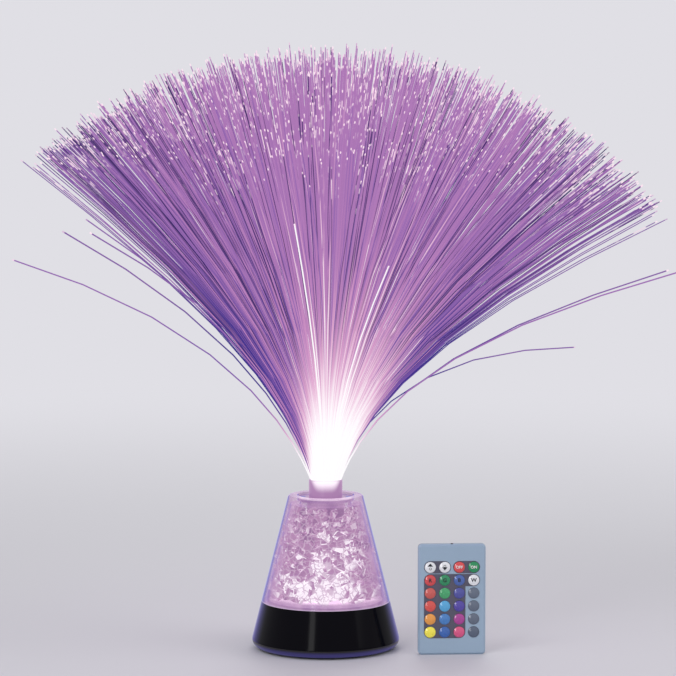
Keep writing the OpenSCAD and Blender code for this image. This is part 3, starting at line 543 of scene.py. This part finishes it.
class LAMP_OT_fibres(bpy.types.Operator):
    """Models the spray of glowing fibres over the ferrule"""
    bl_idname = "fibre_lamp.fibres"
    bl_label = "Fibres"

    def execute(self, context):
        values = settings().fibres
        rng = random.Random(5)
        low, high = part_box("fibre_bundle")
        bundle_r = (high.x - low.x) / 2
        master = fibre_master(values.diameter / 2 * WIDTH_FIX, values.bead)
        material = fibre_material(values)
        parts = {name: [] for name, _ in SPRAY_PARTS}
        for i in range(values.count):
            u = math.sqrt((i + 0.5) / values.count)
            name = next(name for name, end in SPRAY_PARTS if u < end)
            parts[name].append(self.even_fibre(values, rng, i, u, bundle_r))
        parts["fibres_loose"] = [self.loose_fibre(rng, bundle_r, *row) for row in LOOSE]
        for name, fibres in parts.items():
            piece = self.spray(name, master, fibres, high.z, LOOSE_WIDTH if name == "fibres_loose" else 1.0)
            piece.data.materials.append(material)
            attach(piece, "fibre_head")
            if name == "fibres_inner":
                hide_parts("fibre_spray")
        remove(master)
        return {"FINISHED"}

    def even_fibre(self, values, rng, i, u, bundle_r):
        """One fibre of the even spray, u of the way from its middle to its edge."""
        azimuth = GOLDEN * i + 0.05 * rng.uniform(-1, 1)
        tuft = 0.6 * math.sin(13 * azimuth + 5 * u) + 0.4 * math.sin(29 * azimuth - 11 * u)
        # Where the painted highlights near the fibres' ends gather in groups.
        highlight_cluster = 0.5 + 0.25 * (math.sin(9 * azimuth + 14 * u) + math.sin(17 * azimuth - 23 * u))
        left, right = max(0.0, -math.cos(azimuth)), max(0.0, math.cos(azimuth))
        end = values.spread * u ** 0.95 * (1 + 0.04 * rng.uniform(-1, 1) + 0.012 * tuft)
        end += values.side_lean * right ** 3 * u ** 4
        blue = u ** 2.6 * (0.2 + 0.65 * left + 0.45 * right) + 0.26 * rng.gauss(0, 1) * (0.4 + 0.6 * u)
        glow = 1 - (u * left) ** 1.2 - 0.3 * (u * right) ** 2 - 0.5 * (u * right) ** 8
        glow *= 0.25 * (1 + 0.15 * u * right) * rng.uniform(0.75, 1.2)
        streak = rng.random()
        dim_from = 1 - DIM_STREAKS - u ** 2 * (0.06 + 0.4 * left + 0.2 * right)
        return {
            "azimuth": azimuth, "end": end, "root": (bundle_r - ROOT_MARGIN) * u,
            "length": values.length * (1 + 0.02 * rng.uniform(-1, 1) + 0.012 * tuft),
            "bend": values.bend * rng.uniform(0.85, 1.2), "swirl": rng.uniform(-0.05, 0.05),
            "blue": min(1.0, max(0.0, blue)), "glow": glow * (2.2 if streak < BRIGHT_STREAKS else 1),
            "dim": rng.uniform(0.5, 0.95) if streak > dim_from else 0.1 * streak,
            "highlight_cluster": highlight_cluster + 0.12 * rng.uniform(-1, 1), "seed": rng.random()}

    def loose_fibre(self, rng, bundle_r, direction, end, length, bend, blue, glow):
        """One fibre that has left the spray."""
        return {
            "azimuth": math.radians(direction), "end": math.radians(end),
            "root": bundle_r - 0.5 * ROOT_MARGIN, "length": length * MM, "bend": bend * MM, "swirl": 0.0,
            "blue": blue, "glow": glow, "dim": 0.0, "highlight_cluster": 0.0, "seed": rng.random()}

    def spray(self, name, master, fibres, root_z, width):
        """One mesh of bent copies of the master, with the numbers that the material reads."""
        shape = vertex_places(master) * (width, width, 1)
        ring = np.rint(shape[:, 2] * (len(fibre_stations(1.0)) - 1)).astype(int)
        places, along = [], []
        for fibre in fibres:
            azimuth, length = fibre["azimuth"], fibre["length"]
            stations = np.array(fibre_stations(length))
            share = stations[ring] / length
            line = fibre_line(fibre["end"], length, fibre["bend"], stations)
            root = (fibre["root"] * math.cos(azimuth), fibre["root"] * math.sin(azimuth), root_z)
            places.append(bent_fibre(shape, ring, root, azimuth + fibre["swirl"] * share ** 2, line))
            along.append(share)
        piece = joined_copies(name, master, np.array(places), flat=False)
        store(piece, "along", along)
        for key in ("blue", "glow", "dim", "highlight_cluster", "seed"):
            store(piece, key, [np.full(len(shape), fibre[key]) for fibre in fibres])
        return piece


# ---- Crystal chips ----

CHIP_SHAPES = 9
CHIP_CUTS = 6
CHIP_LIFT = 1.5 * MM       # of the lowest chips above the diffuser


def chip_master(rng):
    """One crystal chip, about one unit across, cut from a block by a few slanting planes."""
    deselect_all()
    bpy.ops.mesh.primitive_cube_add(size=1.0, location=(0, 0, 0))
    chip = bpy.context.object
    mode("EDIT")
    for _ in range(CHIP_CUTS):
        normal = Vector([rng.uniform(-1, 1) for _ in range(3)]).normalized()
        bpy.ops.mesh.select_all(action="SELECT")
        bpy.ops.mesh.bisect(
            plane_co=normal * rng.uniform(0.3, 0.5), plane_no=normal, use_fill=True, clear_outer=True)
    face_outwards()
    return chip


def random_turn(rng):
    """A random rotation as a 3 by 3 array."""
    axis = Vector([rng.gauss(0, 1) for _ in range(3)]).normalized()
    return np.array(Matrix.Rotation(rng.uniform(0, 2 * math.pi), 3, axis))


def crystal_material(values, low_z, high_z):
    """Cut acrylic with painted light from below: lighter and darker facets, brightest low and near x = 0,
    with fine cracks painted as glints.
    """
    mat = Material("Lit crystal")
    vector, x, _, z = mat.place()
    aside = mat.maths("ABSOLUTE", x)
    # Painted light: brighter low down and near x = 0 in cloudy patches, with a painted glow in the lower
    # middle.
    patches = mat.step(mat.noise(vector, 46.0, 1.0)["Fac"], 0.4, 0.62, 0.25, 1.0)
    fill = mat.product(
        mat.fall(z, low_z, high_z), mat.step(aside, 8 * MM, 30 * MM, 1.0, 0.3), patches, 1.15)
    painted_glow_middle = mat.product(
        mat.fall(aside, 6 * MM, 26 * MM), mat.fall(z, low_z + 8 * MM, low_z + 42 * MM), 0.3)
    ripple = mat.noise(vector, 260.0, 2.0)
    sway = mat.product(mat.maths("SUBTRACT", ripple["Fac"], 0.5), 0.3)
    level = mat.product(mat.attribute("facet"), 0.72)
    for light in (fill, painted_glow_middle, sway):
        level = mat.maths("ADD", level, light)
    wave = mat.scaled(ripple["Color"], 3 * MM)
    bent = mat.node("VectorMath", {0: vector, 1: wave}, operation="ADD").outputs[0]
    # Fine cracks, painted as glints: pale lines in the darker facets and mauve lines in the brighter ones.
    cells = mat.node("TexVoronoi", {"Vector": bent, "Scale": 190.0}, feature="DISTANCE_TO_EDGE")
    crack = mat.fall(cells.outputs["Distance"], 0.03, 0.09)
    soft = mat.mix(0.45, values.mid, values.bright)
    pale = mat.mix(mat.product(crack, 0.6), values.bright, values.mid)
    lit = mat.ramp(level, [(0.0, values.dark), (0.3, values.mid)])
    lit = mat.mix(mat.product(crack, 0.5), lit, soft)
    lit = mat.mix(mat.step(level, 0.54, 0.68), lit, soft)
    lit = mat.mix(mat.step(level, 0.66, 0.8), lit, pale)
    return mat.shine(
        lit, 0.88, Base_Color=mat.darker(lit, 0.2), Roughness=0.1, IOR=1.49, Specular_IOR_Level=0.3)


def wall_inside():
    """Radius of the cone's inside at its foot, and how much it shrinks with each metre up."""
    places = vertex_places(frame["nodes"]["crystal_shell"])
    radius = np.hypot(places[:, 0], places[:, 1])
    foot = places[:, 2].min()
    above = places[:, 2] > foot + 0.1 * MM
    ledge = places[above, 2].min()
    foot_r = radius[~above].min()
    ledge_r = radius[above & (places[:, 2] < ledge + 0.1 * MM)].max()
    return foot_r, (foot_r - ledge_r) / (ledge - foot)


class LAMP_OT_crystals(bpy.types.Operator):
    """Models the crystal chips in the clear cone"""
    bl_idname = "fibre_lamp.crystals"
    bl_label = "Crystal chips"

    def execute(self, context):
        values = settings().crystals
        rng = random.Random(23)
        low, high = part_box("crystal_chips")
        tube_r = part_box("light_tube")[1].x
        foot_r, shrink = wall_inside()
        masters = [chip_master(rng) for _ in range(CHIP_SHAPES)]
        shapes = [vertex_places(master) for master in masters]
        chips = [[] for _ in masters]
        for _ in range(values.count):
            share = rng.random() ** 1.2
            size = values.low_size + (values.high_size - values.low_size) * share
            size *= rng.uniform(0.55, 1.15)
            z = low.z + CHIP_LIFT + size / 2 + (high.z - low.z - CHIP_LIFT - size) * share
            outer = foot_r - shrink * (z + size / 2 - low.z) - size * 0.47
            inner = tube_r + size * 0.5
            r = max(inner, outer - (outer - inner) * rng.random() ** 2)
            a = rng.uniform(0, 2 * math.pi)
            kind = rng.randrange(CHIP_SHAPES)
            turned = shapes[kind] @ random_turn(rng).T * size
            chips[kind].append(turned + np.array([r * math.cos(a), r * math.sin(a), z]))
        piece = join(*(
            joined_copies("chips", *pair, flat=True) for pair in zip(masters, map(np.array, chips))))
        piece.name = "crystal_fill"
        # A painted brightness for each facet, as if it caught more or less of the light.
        store(piece, "facet", [rng.random() ** 1.2 for _ in piece.data.polygons], "FACE")
        piece.data.materials.append(crystal_material(values, low.z, high.z))
        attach(piece, "root")
        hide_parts("crystal_chips")
        remove(*masters)
        return {"FINISHED"}


# ---- Clear cone, light tube and top ----

WALL_BAND = 6.5 * MM       # height of the milky band at the foot of the cone and under its rim
HOT_DIP = 10 * MM          # how far down the ferrule the hot light shows through it


def clear_wall_material(values, low_z, high_z, bore_r):
    """Clear acrylic that gathers light: milky at its foot and its rim, with a painted blue-violet glow
    along its edges and painted highlights on its rim and foot.
    """
    mat = Material("Clear cone wall")
    vector, _, y, z = mat.place()
    radius = mat.radius()
    # Painted light: the wall shows more of its glowing haze where the eye grazes it, and glows blue-violet
    # near its outline where it stands upright.
    facing = mat.facing(0.3)
    side = mat.step(facing, 0.16, 0.42)
    edge = mat.product(mat.step(facing, 0.42, 0.64), mat.fall(mat.slant(), 0.4, 0.8))
    foot = mat.fall(z, low_z + 0.5 * WALL_BAND, low_z + WALL_BAND)
    head = mat.step(z, high_z - 1.5 * WALL_BAND, high_z - 0.5 * WALL_BAND)
    milky = mat.largest(foot, mat.product(head, 0.8))
    cloud = mat.step(mat.noise(vector, 90.0, 3.0)["Fac"], 0.35, 0.7)
    haze = mat.mix(cloud, values.wall, srgb(160, 120, 168))
    # Painted highlight: a bright line on the inner edge of the rim, on its front half only.
    painted_lip_highlight = mat.product(
        mat.fall(radius, bore_r + 0.1 * MM, bore_r + 1.2 * MM),
        mat.step(z, high_z - 2.5 * MM, high_z - 1.5 * MM), mat.fall(y, -0.6 * bore_r, 0))
    # Painted highlight: a pale line along the foot of the wall.
    line = mat.product(mat.fall(z, low_z, low_z + 0.8 * MM), 0.5)
    colour = mat.mix(edge, haze, values.rim_glow)
    colour = mat.mix(mat.largest(painted_lip_highlight, line), colour, srgb(255, 236, 250))
    alpha = mat.largest(mat.product(side, 0.6), mat.product(milky, 0.62), edge, painted_lip_highlight, 0.07)
    return mat.shine(colour, 0.8, Base_Color=mat.darker(colour, 0.3), Alpha=alpha,
                     Roughness=0.06, IOR=1.49, Specular_IOR_Level=0.25)


def frosted_top_material(radius_in, radius_out):
    """The milky top plate, glowing lilac, with painted blue-violet shade at the left and right of its
    recess, on the x axis.
    """
    mat = Material("Frosted top")
    _, _, y, _ = mat.place()
    radius = mat.radius()
    lilac = mat.mix(
        mat.step(radius, radius_in, radius_out), srgb(168, 128, 172), srgb(140, 104, 164))
    # Painted shade: blue-violet at the left and right of the recess, on the x axis.
    painted_side_shade = mat.product(mat.fall(mat.maths("ABSOLUTE", y), 3.5 * MM, 7 * MM),
                        mat.step(radius, radius_in + 2 * MM, radius_in + 4 * MM))
    colour = mat.mix(painted_side_shade, lilac, srgb(84, 74, 176))
    mat.mould(mat.darker(colour, 0.45), (0.25, 0.4), (900.0, 0.04), (90.0, 0.05))
    return mat.shine(colour, 0.5)


def frosted_material(name, colour, low_z, high_z, alpha=1.0):
    """Milky plastic that carries light, brighter below."""
    mat = Material(name)
    level = mat.step(mat.place()[-1], low_z, high_z, 1.0, 0.6)
    mat.mould(colour, (0.3, 0.45), (900.0, 0.05), (90.0, 0.06))
    return mat.shine(mat.scaled(colour[:3], level), 0.5, Alpha=alpha)


class LAMP_OT_clear_cone(bpy.types.Operator):
    """Finishes the clear cone, the light tube, the diffuser and the top plate"""
    bl_idname = "fibre_lamp.clear_cone"
    bl_label = "Clear cone"

    def execute(self, context):
        low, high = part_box("crystal_shell")
        plate_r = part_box("top_plate")[1].x
        ferrule_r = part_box("fibre_ferrule")[1].x
        dress(clear_wall_material(settings().body, low.z, high.z, plate_r), "crystal_shell")
        dress(frosted_material("Frosted tube", srgb(226, 196, 222), low.z, high.z, 0.5), "light_tube")
        dress(frosted_material("Diffuser", srgb(226, 206, 224), 0, high.z), "deck_diffuser")
        dress(frosted_top_material(ferrule_r, plate_r), "top_plate")
        return {"FINISHED"}


def ferrule_material(values, low_z, high_z):
    """Milky plastic with hot light in its upper end, furthest down where it faces the eye."""
    mat = Material("Milky ferrule")
    z = mat.place()[-1]
    dip = mat.product(mat.step(mat.facing(0.5), 0.05, 0.75), HOT_DIP)
    hot = mat.step(mat.maths("SUBTRACT", z, dip), high_z - HOT_DIP, high_z)
    lit = mat.mix(mat.step(z, low_z, high_z), srgb(112, 80, 120), srgb(146, 108, 148))
    mat.mould(mat.darker(values.ferrule, 0.5), (0.25, 0.35), (900.0, 0.03), (120.0, 0.05))
    return mat.shine(mat.mix(hot, lit, srgb(255, 246, 252)), 1.0)


def bundle_material():
    """The packed fibres in the ferrule: small bright cores in a duller cladding."""
    mat = Material("Fibre bundle")
    flat = mat.node("Mapping", {"Vector": mat.place()[0], "Scale": (1, 1, 0)})
    cells = mat.node("TexVoronoi", {"Vector": flat.outputs["Vector"], "Scale": 1300.0})
    lit = mat.ramp(cells.outputs["Distance"], [
        (0.0, srgb(255, 246, 254)), (0.45, srgb(246, 220, 242)), (0.75, srgb(180, 140, 186))])
    return mat.shine(lit, 0.6, Base_Color=lit, Roughness=0.25, IOR=1.49)


class LAMP_OT_ferrule(bpy.types.Operator):
    """Finishes the ferrule and the bundle in it"""
    bl_idname = "fibre_lamp.ferrule"
    bl_label = "Ferrule"

    def execute(self, context):
        low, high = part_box("fibre_ferrule")
        dress(ferrule_material(settings().body, low.z, high.z), "fibre_ferrule")
        dress(bundle_material(), "fibre_bundle")
        return {"FINISHED"}


# ---- Base ----

NO_LIGHT = (0, 0, 0, 1)
SATIN_BLACK = srgb(15, 14, 18)


def gloss_black(values):
    """Polished black plastic with a painted blue-violet glow along its edges, where the eye grazes it."""
    mat = Material("Gloss black plastic")
    mat.mould(values.base, (0.1, 0.16), (500.0, 0.01), (30.0, 0.2))
    # Painted light: a blue-violet glow where the eye grazes the surface.
    glow = mat.mix(mat.step(mat.facing(0.25), 0.3, 0.64), NO_LIGHT, values.rim_glow)
    return mat.shine(glow, 0.62, IOR=1.2, Specular_IOR_Level=0.3)


def foot_black(values, edge_r):
    """Black satin plastic with a painted blue-violet glow on its rounded outer edge."""
    mat = Material("Black foot plastic")
    mat.mould(SATIN_BLACK, (0.2, 0.3), (1500.0, 0.06), (60.0, 0.12))
    slant = mat.slant()
    # Painted light: a blue-violet glow on the rounded outer edge, between its side and its bottom.
    edge = mat.step(mat.radius(), edge_r - 9 * MM, edge_r - 7 * MM)
    painted_edge_glow = mat.product(mat.step(slant, 0.1, 0.5), mat.fall(slant, 0.86, 0.97), edge)
    return mat.shine(mat.mix(painted_edge_glow, NO_LIGHT, values.rim_glow), 0.28)


class LAMP_OT_base(bpy.types.Operator):
    """Finishes the black base, its foot ring, door and screws"""
    bl_idname = "fibre_lamp.base"
    bl_label = "Base"

    def execute(self, context):
        values = settings().body
        dress(gloss_black(values), "base_shell")
        dress(foot_black(values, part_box("bottom_cover")[1].x), "bottom_cover")
        dress(plastic("Black satin plastic", SATIN_BLACK, (0.2, 0.3)), "battery_door")
        dress(plastic("Black matt plastic", srgb(20, 19, 24)), "switch_body", "switch_knob", "led_header")
        dress(plastic("Foot rubber", srgb(24, 23, 27), (0.7, 0.85), (900.0, 0.2)), "foot_ring")
        dress(metal("Screw steel", srgb(168, 170, 176)), "cover_screws")
        return {"FINISHED"}


def board_material(name, mask, track):
    """A circuit board: solder mask with copper tracks under it."""
    mat = Material(name)
    grid = mat.node("TexBrick", {
        "Vector": mat.place()[0], "Scale": 260.0, "Mortar Size": 0.03,
        "Color1": mask, "Color2": mask, "Mortar": track})
    return mat.mould(grid.outputs["Color"], (0.3, 0.45), (1500.0, 0.03), (80.0, 0.08))


def cell_material(name):
    """A cell: a printed sleeve between bare metal ends."""
    low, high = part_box(name)
    mat = Material("Sleeve of " + name)
    _, _, y, _ = mat.place()
    share = mat.maths("DIVIDE", mat.maths("SUBTRACT", y, low.y), high.y - low.y)
    steel, sleeve, band = srgb(196, 198, 202), srgb(58, 66, 78), srgb(176, 146, 84)
    colour = mat.ramp(share, [(0.0, steel), (0.03, sleeve), (0.73, band), (0.97, steel)], "CONSTANT")
    return mat.mould(colour, (0.22, 0.35), (1200.0, 0.02), (60.0, 0.06))


def emitter_material():
    """The light source: a bright lens on a pale package."""
    low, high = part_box("led_emitter")
    mat = Material("Light source")
    lit = mat.ramp(mat.step(mat.place()[-1], low.z, high.z),
                   [(0.0, srgb(230, 226, 222)), (0.5, srgb(255, 236, 252))])
    return mat.shine(lit, 2.0, Base_Color=lit, Roughness=0.15, IOR=1.5)


class LAMP_OT_electronics(bpy.types.Operator):
    """Finishes the cells, the contacts, the boards and the light source"""
    bl_idname = "fibre_lamp.electronics"
    bl_label = "Electronics"

    def execute(self, context):
        dress(metal("Plated contact", srgb(206, 206, 200)), "battery_contacts", "usb_port")
        dress(board_material("Green board", srgb(22, 84, 48), srgb(40, 118, 70)), "control_board")
        dress(board_material("White board", srgb(232, 232, 226), srgb(206, 206, 198)), "led_board")
        dress(board_material("Brown board", srgb(150, 108, 60), srgb(186, 140, 86)), "remote_board")
        dress(plastic("Dark lens", srgb(30, 22, 38), (0.08, 0.14), (800.0, 0.01)),
              "ir_receiver", "remote_ir_led")
        for name in ("battery_1", "battery_2", "battery_3"):
            dress(cell_material(name), name)
        dress(metal("Reflector coating", srgb(226, 226, 232), (0.05, 0.1), (600.0, 0.01)), "reflector_cup")
        dress(emitter_material(), "led_emitter")
        return {"FINISHED"}


# ---- Remote control ----

WHITE_KEY, GREY_KEY = (238, 240, 244), (96, 107, 126)
KEY_COLOURS = [
    [WHITE_KEY, WHITE_KEY, (222, 74, 76), (10, 142, 84)],
    [(216, 72, 76), (26, 141, 91), (70, 100, 175), WHITE_KEY],
    [(206, 90, 84), (65, 166, 107), (75, 78, 160), GREY_KEY],
    [(222, 82, 74), (86, 172, 224), (80, 65, 165), GREY_KEY],
    [(240, 160, 70), (70, 130, 200), (175, 60, 150), GREY_KEY],
    [(255, 240, 80), (50, 100, 180), (225, 85, 135), (84, 96, 117)],
]
KEY_CREASE = math.radians(30)    # the least angle at which a key's edge stays sharp
ARROWS, WORDS = ("up", "down"), ("OFF", "ON")
KEY_MARKS = [(*ARROWS, *WORDS), ("R", "G", "B", "W")]    # by row and column
LETTER_SIZE = 4.0 * MM     # of a letter that stands alone
WORD_SIZE = 3.0 * MM       # of the letters of a word
MARK_LIFT = 0.03 * MM      # of a mark's face above the top of the crown
MARK_DEPTH = 0.3 * MM      # of a mark into the key


def key_name(row, column):
    """The name of a key's node and body."""
    return f"key_r{row + 1}c{column + 1}"


class LAMP_OT_remote_case(bpy.types.Operator):
    """Finishes the remote's two halves, its panels, its tray and its inside"""
    bl_idname = "fibre_lamp.remote_case"
    bl_label = "Remote case"

    def execute(self, context):
        values = settings().remote
        grain, clouds = (1100.0, 0.12), (25.0, 0.05)
        dress(plastic("Remote front plastic", values.front, (0.38, 0.5), grain, clouds), "remote_front")
        dress(plastic("Remote back plastic", values.back, (0.42, 0.55), grain, clouds),
              "remote_back", "remote_tray")
        dress(plastic("Panel ink", values.panel, (0.3, 0.4), (1400.0, 0.05), (50.0, 0.06)), "remote_label")
        dress(plastic("Key mat rubber", srgb(196, 196, 202), (0.6, 0.75)), "remote_key_mat")
        dress(metal("Coin cell steel", srgb(200, 202, 206)), "coin_cell")
        return {"FINISHED"}


class LAMP_OT_remote_keys(bpy.types.Operator):
    """Finishes the remote's coloured keys"""
    bl_idname = "fibre_lamp.remote_keys"
    bl_label = "Remote keys"

    def execute(self, context):
        finishes = {}
        for row, colours in enumerate(KEY_COLOURS):
            for column, colour in enumerate(colours):
                if colour not in finishes:
                    finishes[colour] = self.key_material(colour)
                name = key_name(row, column)
                dress(finishes[colour], name)
                select_only(frame["nodes"][name])
                bpy.ops.object.shade_smooth_by_angle(angle=KEY_CREASE)
        return {"FINISHED"}

    def key_material(self, colour):
        """Glossy moulded plastic under a clear coat."""
        mat = Material("Key %02x%02x%02x" % colour)
        mat.mould(srgb(*colour), (0.1, 0.16), (900.0, 0.02), (90.0, 0.06))
        return mat.set(Coat_Weight=0.6)


def key_frame(name):
    """The middle of a key's crown, with +X to the right along the remote and +Z out of its face."""
    low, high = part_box(name)
    centre = (low + high) / 2
    joint = next(j for j in frame["record"]["behaviour"]["joints"] if j["child"] == name)
    inwards = Vector(joint["axis"])
    depth = max((Vector(v.co) - centre).dot(-inwards) for v in frame["nodes"][name].data.vertices)
    turn = Matrix((inwards.cross(Vector((0, 0, 1))), (0, 0, 1), -inwards)).transposed()
    return Matrix.Translation(centre - inwards * depth) @ turn.to_4x4()


def text_mark(text):
    """Letters as a flat mesh, with their middle at the origin."""
    size = WORD_SIZE if text in WORDS else LETTER_SIZE
    deselect_all()
    bpy.ops.object.text_add(location=(0, 0, 0))
    letters = bpy.context.object.data
    letters.body = text
    letters.size = size
    letters.align_x = "CENTER"
    letters.align_y = "CENTER"
    letters.offset = 0.03 * size
    bpy.ops.object.convert(target="MESH")
    return bpy.context.object


def disc(corners, radius, y=0.0):
    """A flat disc, or a polygon, as one face."""
    deselect_all()
    bpy.ops.mesh.primitive_circle_add(vertices=corners, radius=radius, location=(0, y, 0), fill_type="NGON")
    return bpy.context.object


def arrow_mark(up):
    """An arrowhead beside a ring, which stands for brighter or dimmer."""
    side = 1 if up else -1
    arrow = disc(3, 1.9 * MM)
    edit_all(arrow)
    bpy.ops.transform.resize(value=(1.25, 0.85 * side, 1))
    bpy.ops.transform.translate(value=(0, 1.5 * MM * side, 0))
    ring = disc(16, 1.0 * MM, -1.0 * MM * side)
    bake_place(ring)
    edit_all(ring)
    bpy.ops.mesh.inset(thickness=0.3 * MM)
    bpy.ops.mesh.delete(type="FACE")
    return join(arrow, ring)


class LAMP_OT_key_marks(bpy.types.Operator):
    """Prints the arrows and letters on the keys"""
    bl_idname = "fibre_lamp.key_marks"
    bl_label = "Key marks"

    def execute(self, context):
        dark = plastic("Dark ink", srgb(26, 30, 40)), "remote_dark_panel"
        pale = plastic("Pale ink", srgb(246, 240, 240)), "key_white"
        for row, kinds in enumerate(KEY_MARKS):
            for column, kind in enumerate(kinds):
                name = key_name(row, column)
                mark = arrow_mark(kind == "up") if kind in ARROWS else text_mark(kind)
                self.thicken(mark)
                mark.name = "mark_" + name
                mark.matrix_world = key_frame(name)
                bake_place(mark)
                ink, slot = pale if kind in WORDS else dark
                mark.data.materials.append(ink)
                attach(mark, name)
        return {"FINISHED"}

    def thicken(self, mark):
        """Makes a plate of a flat mark, sunk into the crown of its key."""
        edit_all(mark)
        bpy.ops.transform.translate(value=(0, 0, MARK_LIFT - MARK_DEPTH))
        bpy.ops.mesh.extrude_region_move(TRANSFORM_OT_translate={"value": (0, 0, MARK_DEPTH)})
        face_outwards()


# ---- Stage ----

FLOOR_RADIUS = 5.0
FADE_NEAR, FADE_FAR = 0.45, 1.8    # distances over which the floor fades into the background
SENSOR_WIDTH = 36                  # of the camera, in millimetres
CAMERA_PLACE = (0.0096, -2.5, 0.483)
# the lamps of the stage: name, place, where it aims, width and height, and power in watts
STAGE_LAMPS = (
    ("key_light", (-1.3, -1.5, 1.6), (0, 0, 0.15), (1.4, 1.4), 15.0),
    ("strip_light", (-0.62, -1.5, 0.25), (0.05, 0, 0.05), (0.25, 0.8), 3.5),
    ("fill_light", (1.9, -0.6, 1.3), (0, 0, 0.15), (1.6, 1.6), 9.0),
    ("back_light", (0.3, 1.9, 1.6), (0, 0, 0.2), (1.4, 1.4), 9.0),
)


class LAMP_OT_stage(bpy.types.Operator):
    """Sets the floor, the lights, the background and the camera"""
    bl_idname = "fibre_lamp.stage"
    bl_label = "Stage"

    def execute(self, context):
        values = settings().stage
        self.make_floor(values)
        self.make_world(values)
        self.make_lamps()
        self.make_camera(values)
        context.scene.view_settings.view_transform = "Standard"
        return {"FINISHED"}

    def make_floor(self, values):
        """A round pale floor that fades into the background."""
        floor = disc(96, FLOOR_RADIUS)
        floor.name = "floor"
        mat = Material("Pale floor")
        far = mat.step(mat.radius(), FADE_NEAR, FADE_FAR)
        mat.mould(values.floor, (0.6, 0.7), (300.0, 0.02), (3.0, 0.015))
        glow = mat.node("Emission", {"Color": values.background, "Strength": 1.0})
        mat.show(mat.product(far, mat.seen()), mat.surface, glow, "Material Output")
        floor.data.materials.append(mat.material)

    def make_world(self, values):
        """Even light from all round, and a pale background for what the camera and gloss see."""
        world = bpy.data.worlds.new("Studio")
        world.use_nodes = True
        nodes = Nodes(world.node_tree)
        light = nodes.tree.nodes["Background"]
        light.inputs["Color"].default_value = (1, 1, 1, 1)
        light.inputs["Strength"].default_value = values.world_light
        shown = nodes.node("Background", {"Color": values.background, "Strength": 1.0})
        nodes.show(nodes.seen(), light, shown, "World Output")
        bpy.context.scene.world = world

    def make_lamps(self):
        """A large soft light and a strip on the left, a fill on the right and a light behind."""
        for name, place, aim, size, power in STAGE_LAMPS:
            lamp = bpy.data.lights.new(name, "AREA")
            lamp.shape = "RECTANGLE"
            lamp.size, lamp.size_y = size
            lamp.energy = power
            holder = bpy.data.objects.new(name, lamp)
            holder.visible_camera = False
            holder.location = place
            holder.rotation_euler = (Vector(aim) - Vector(place)).to_track_quat("-Z", "Y").to_euler()
            bpy.context.scene.collection.objects.link(holder)

    def make_camera(self, values):
        """The photograph's viewing angle."""
        camera = bpy.data.cameras.new("camera")
        camera.lens = values.lens / MM
        camera.sensor_width = SENSOR_WIDTH
        holder = bpy.data.objects.new("camera", camera)
        holder.location = CAMERA_PLACE
        holder.rotation_euler = (math.pi / 2 - values.tilt, 0, 0)
        bpy.context.scene.collection.objects.link(holder)
        bpy.context.scene.camera = holder


class LampSettings(bpy.types.PropertyGroup):
    """All settings of the lamp"""
    fibres: PointerProperty(type=FibreSettings)
    crystals: PointerProperty(type=CrystalSettings)
    body: PointerProperty(type=BodySettings)
    remote: PointerProperty(type=RemoteSettings)
    stage: PointerProperty(type=StageSettings)


OPERATORS = (
    LAMP_OT_fibres, LAMP_OT_crystals, LAMP_OT_clear_cone, LAMP_OT_ferrule, LAMP_OT_base,
    LAMP_OT_electronics, LAMP_OT_remote_case, LAMP_OT_remote_keys, LAMP_OT_key_marks, LAMP_OT_stage)


class LAMP_PT_sidebar(bpy.types.Panel):
    """Lists the lamp's settings and pieces"""
    bl_idname = "LAMP_PT_sidebar"
    bl_label = "Fibre Optic Lamp"
    bl_space_type = "VIEW_3D"
    bl_region_type = "UI"
    bl_category = "Fibre Lamp"

    def draw(self, context):
        lamp = context.scene.fibre_lamp
        for group in (lamp.fibres, lamp.crystals, lamp.body, lamp.remote, lamp.stage):
            box = self.layout.box()
            for key in group.__annotations__:
                box.prop(group, key)
        for operator in OPERATORS:
            self.layout.operator(operator.bl_idname)


CLASSES = (FibreSettings, CrystalSettings, BodySettings, RemoteSettings, StageSettings, LampSettings,
           *OPERATORS, LAMP_PT_sidebar)


def register():
    """Registers the classes and the scene's settings."""
    for item in CLASSES:
        bpy.utils.register_class(item)
    bpy.types.Scene.fibre_lamp = PointerProperty(type=LampSettings)


def unregister():
    """Removes what register() added."""
    del bpy.types.Scene.fibre_lamp
    for item in reversed(CLASSES):
        bpy.utils.unregister_class(item)


def main():
    """Makes every piece in order."""
    register()
    for operator in OPERATORS:
        group, name = operator.bl_idname.split(".")
        getattr(getattr(bpy.ops, group), name)()


if __name__ == "__main__":
    main()
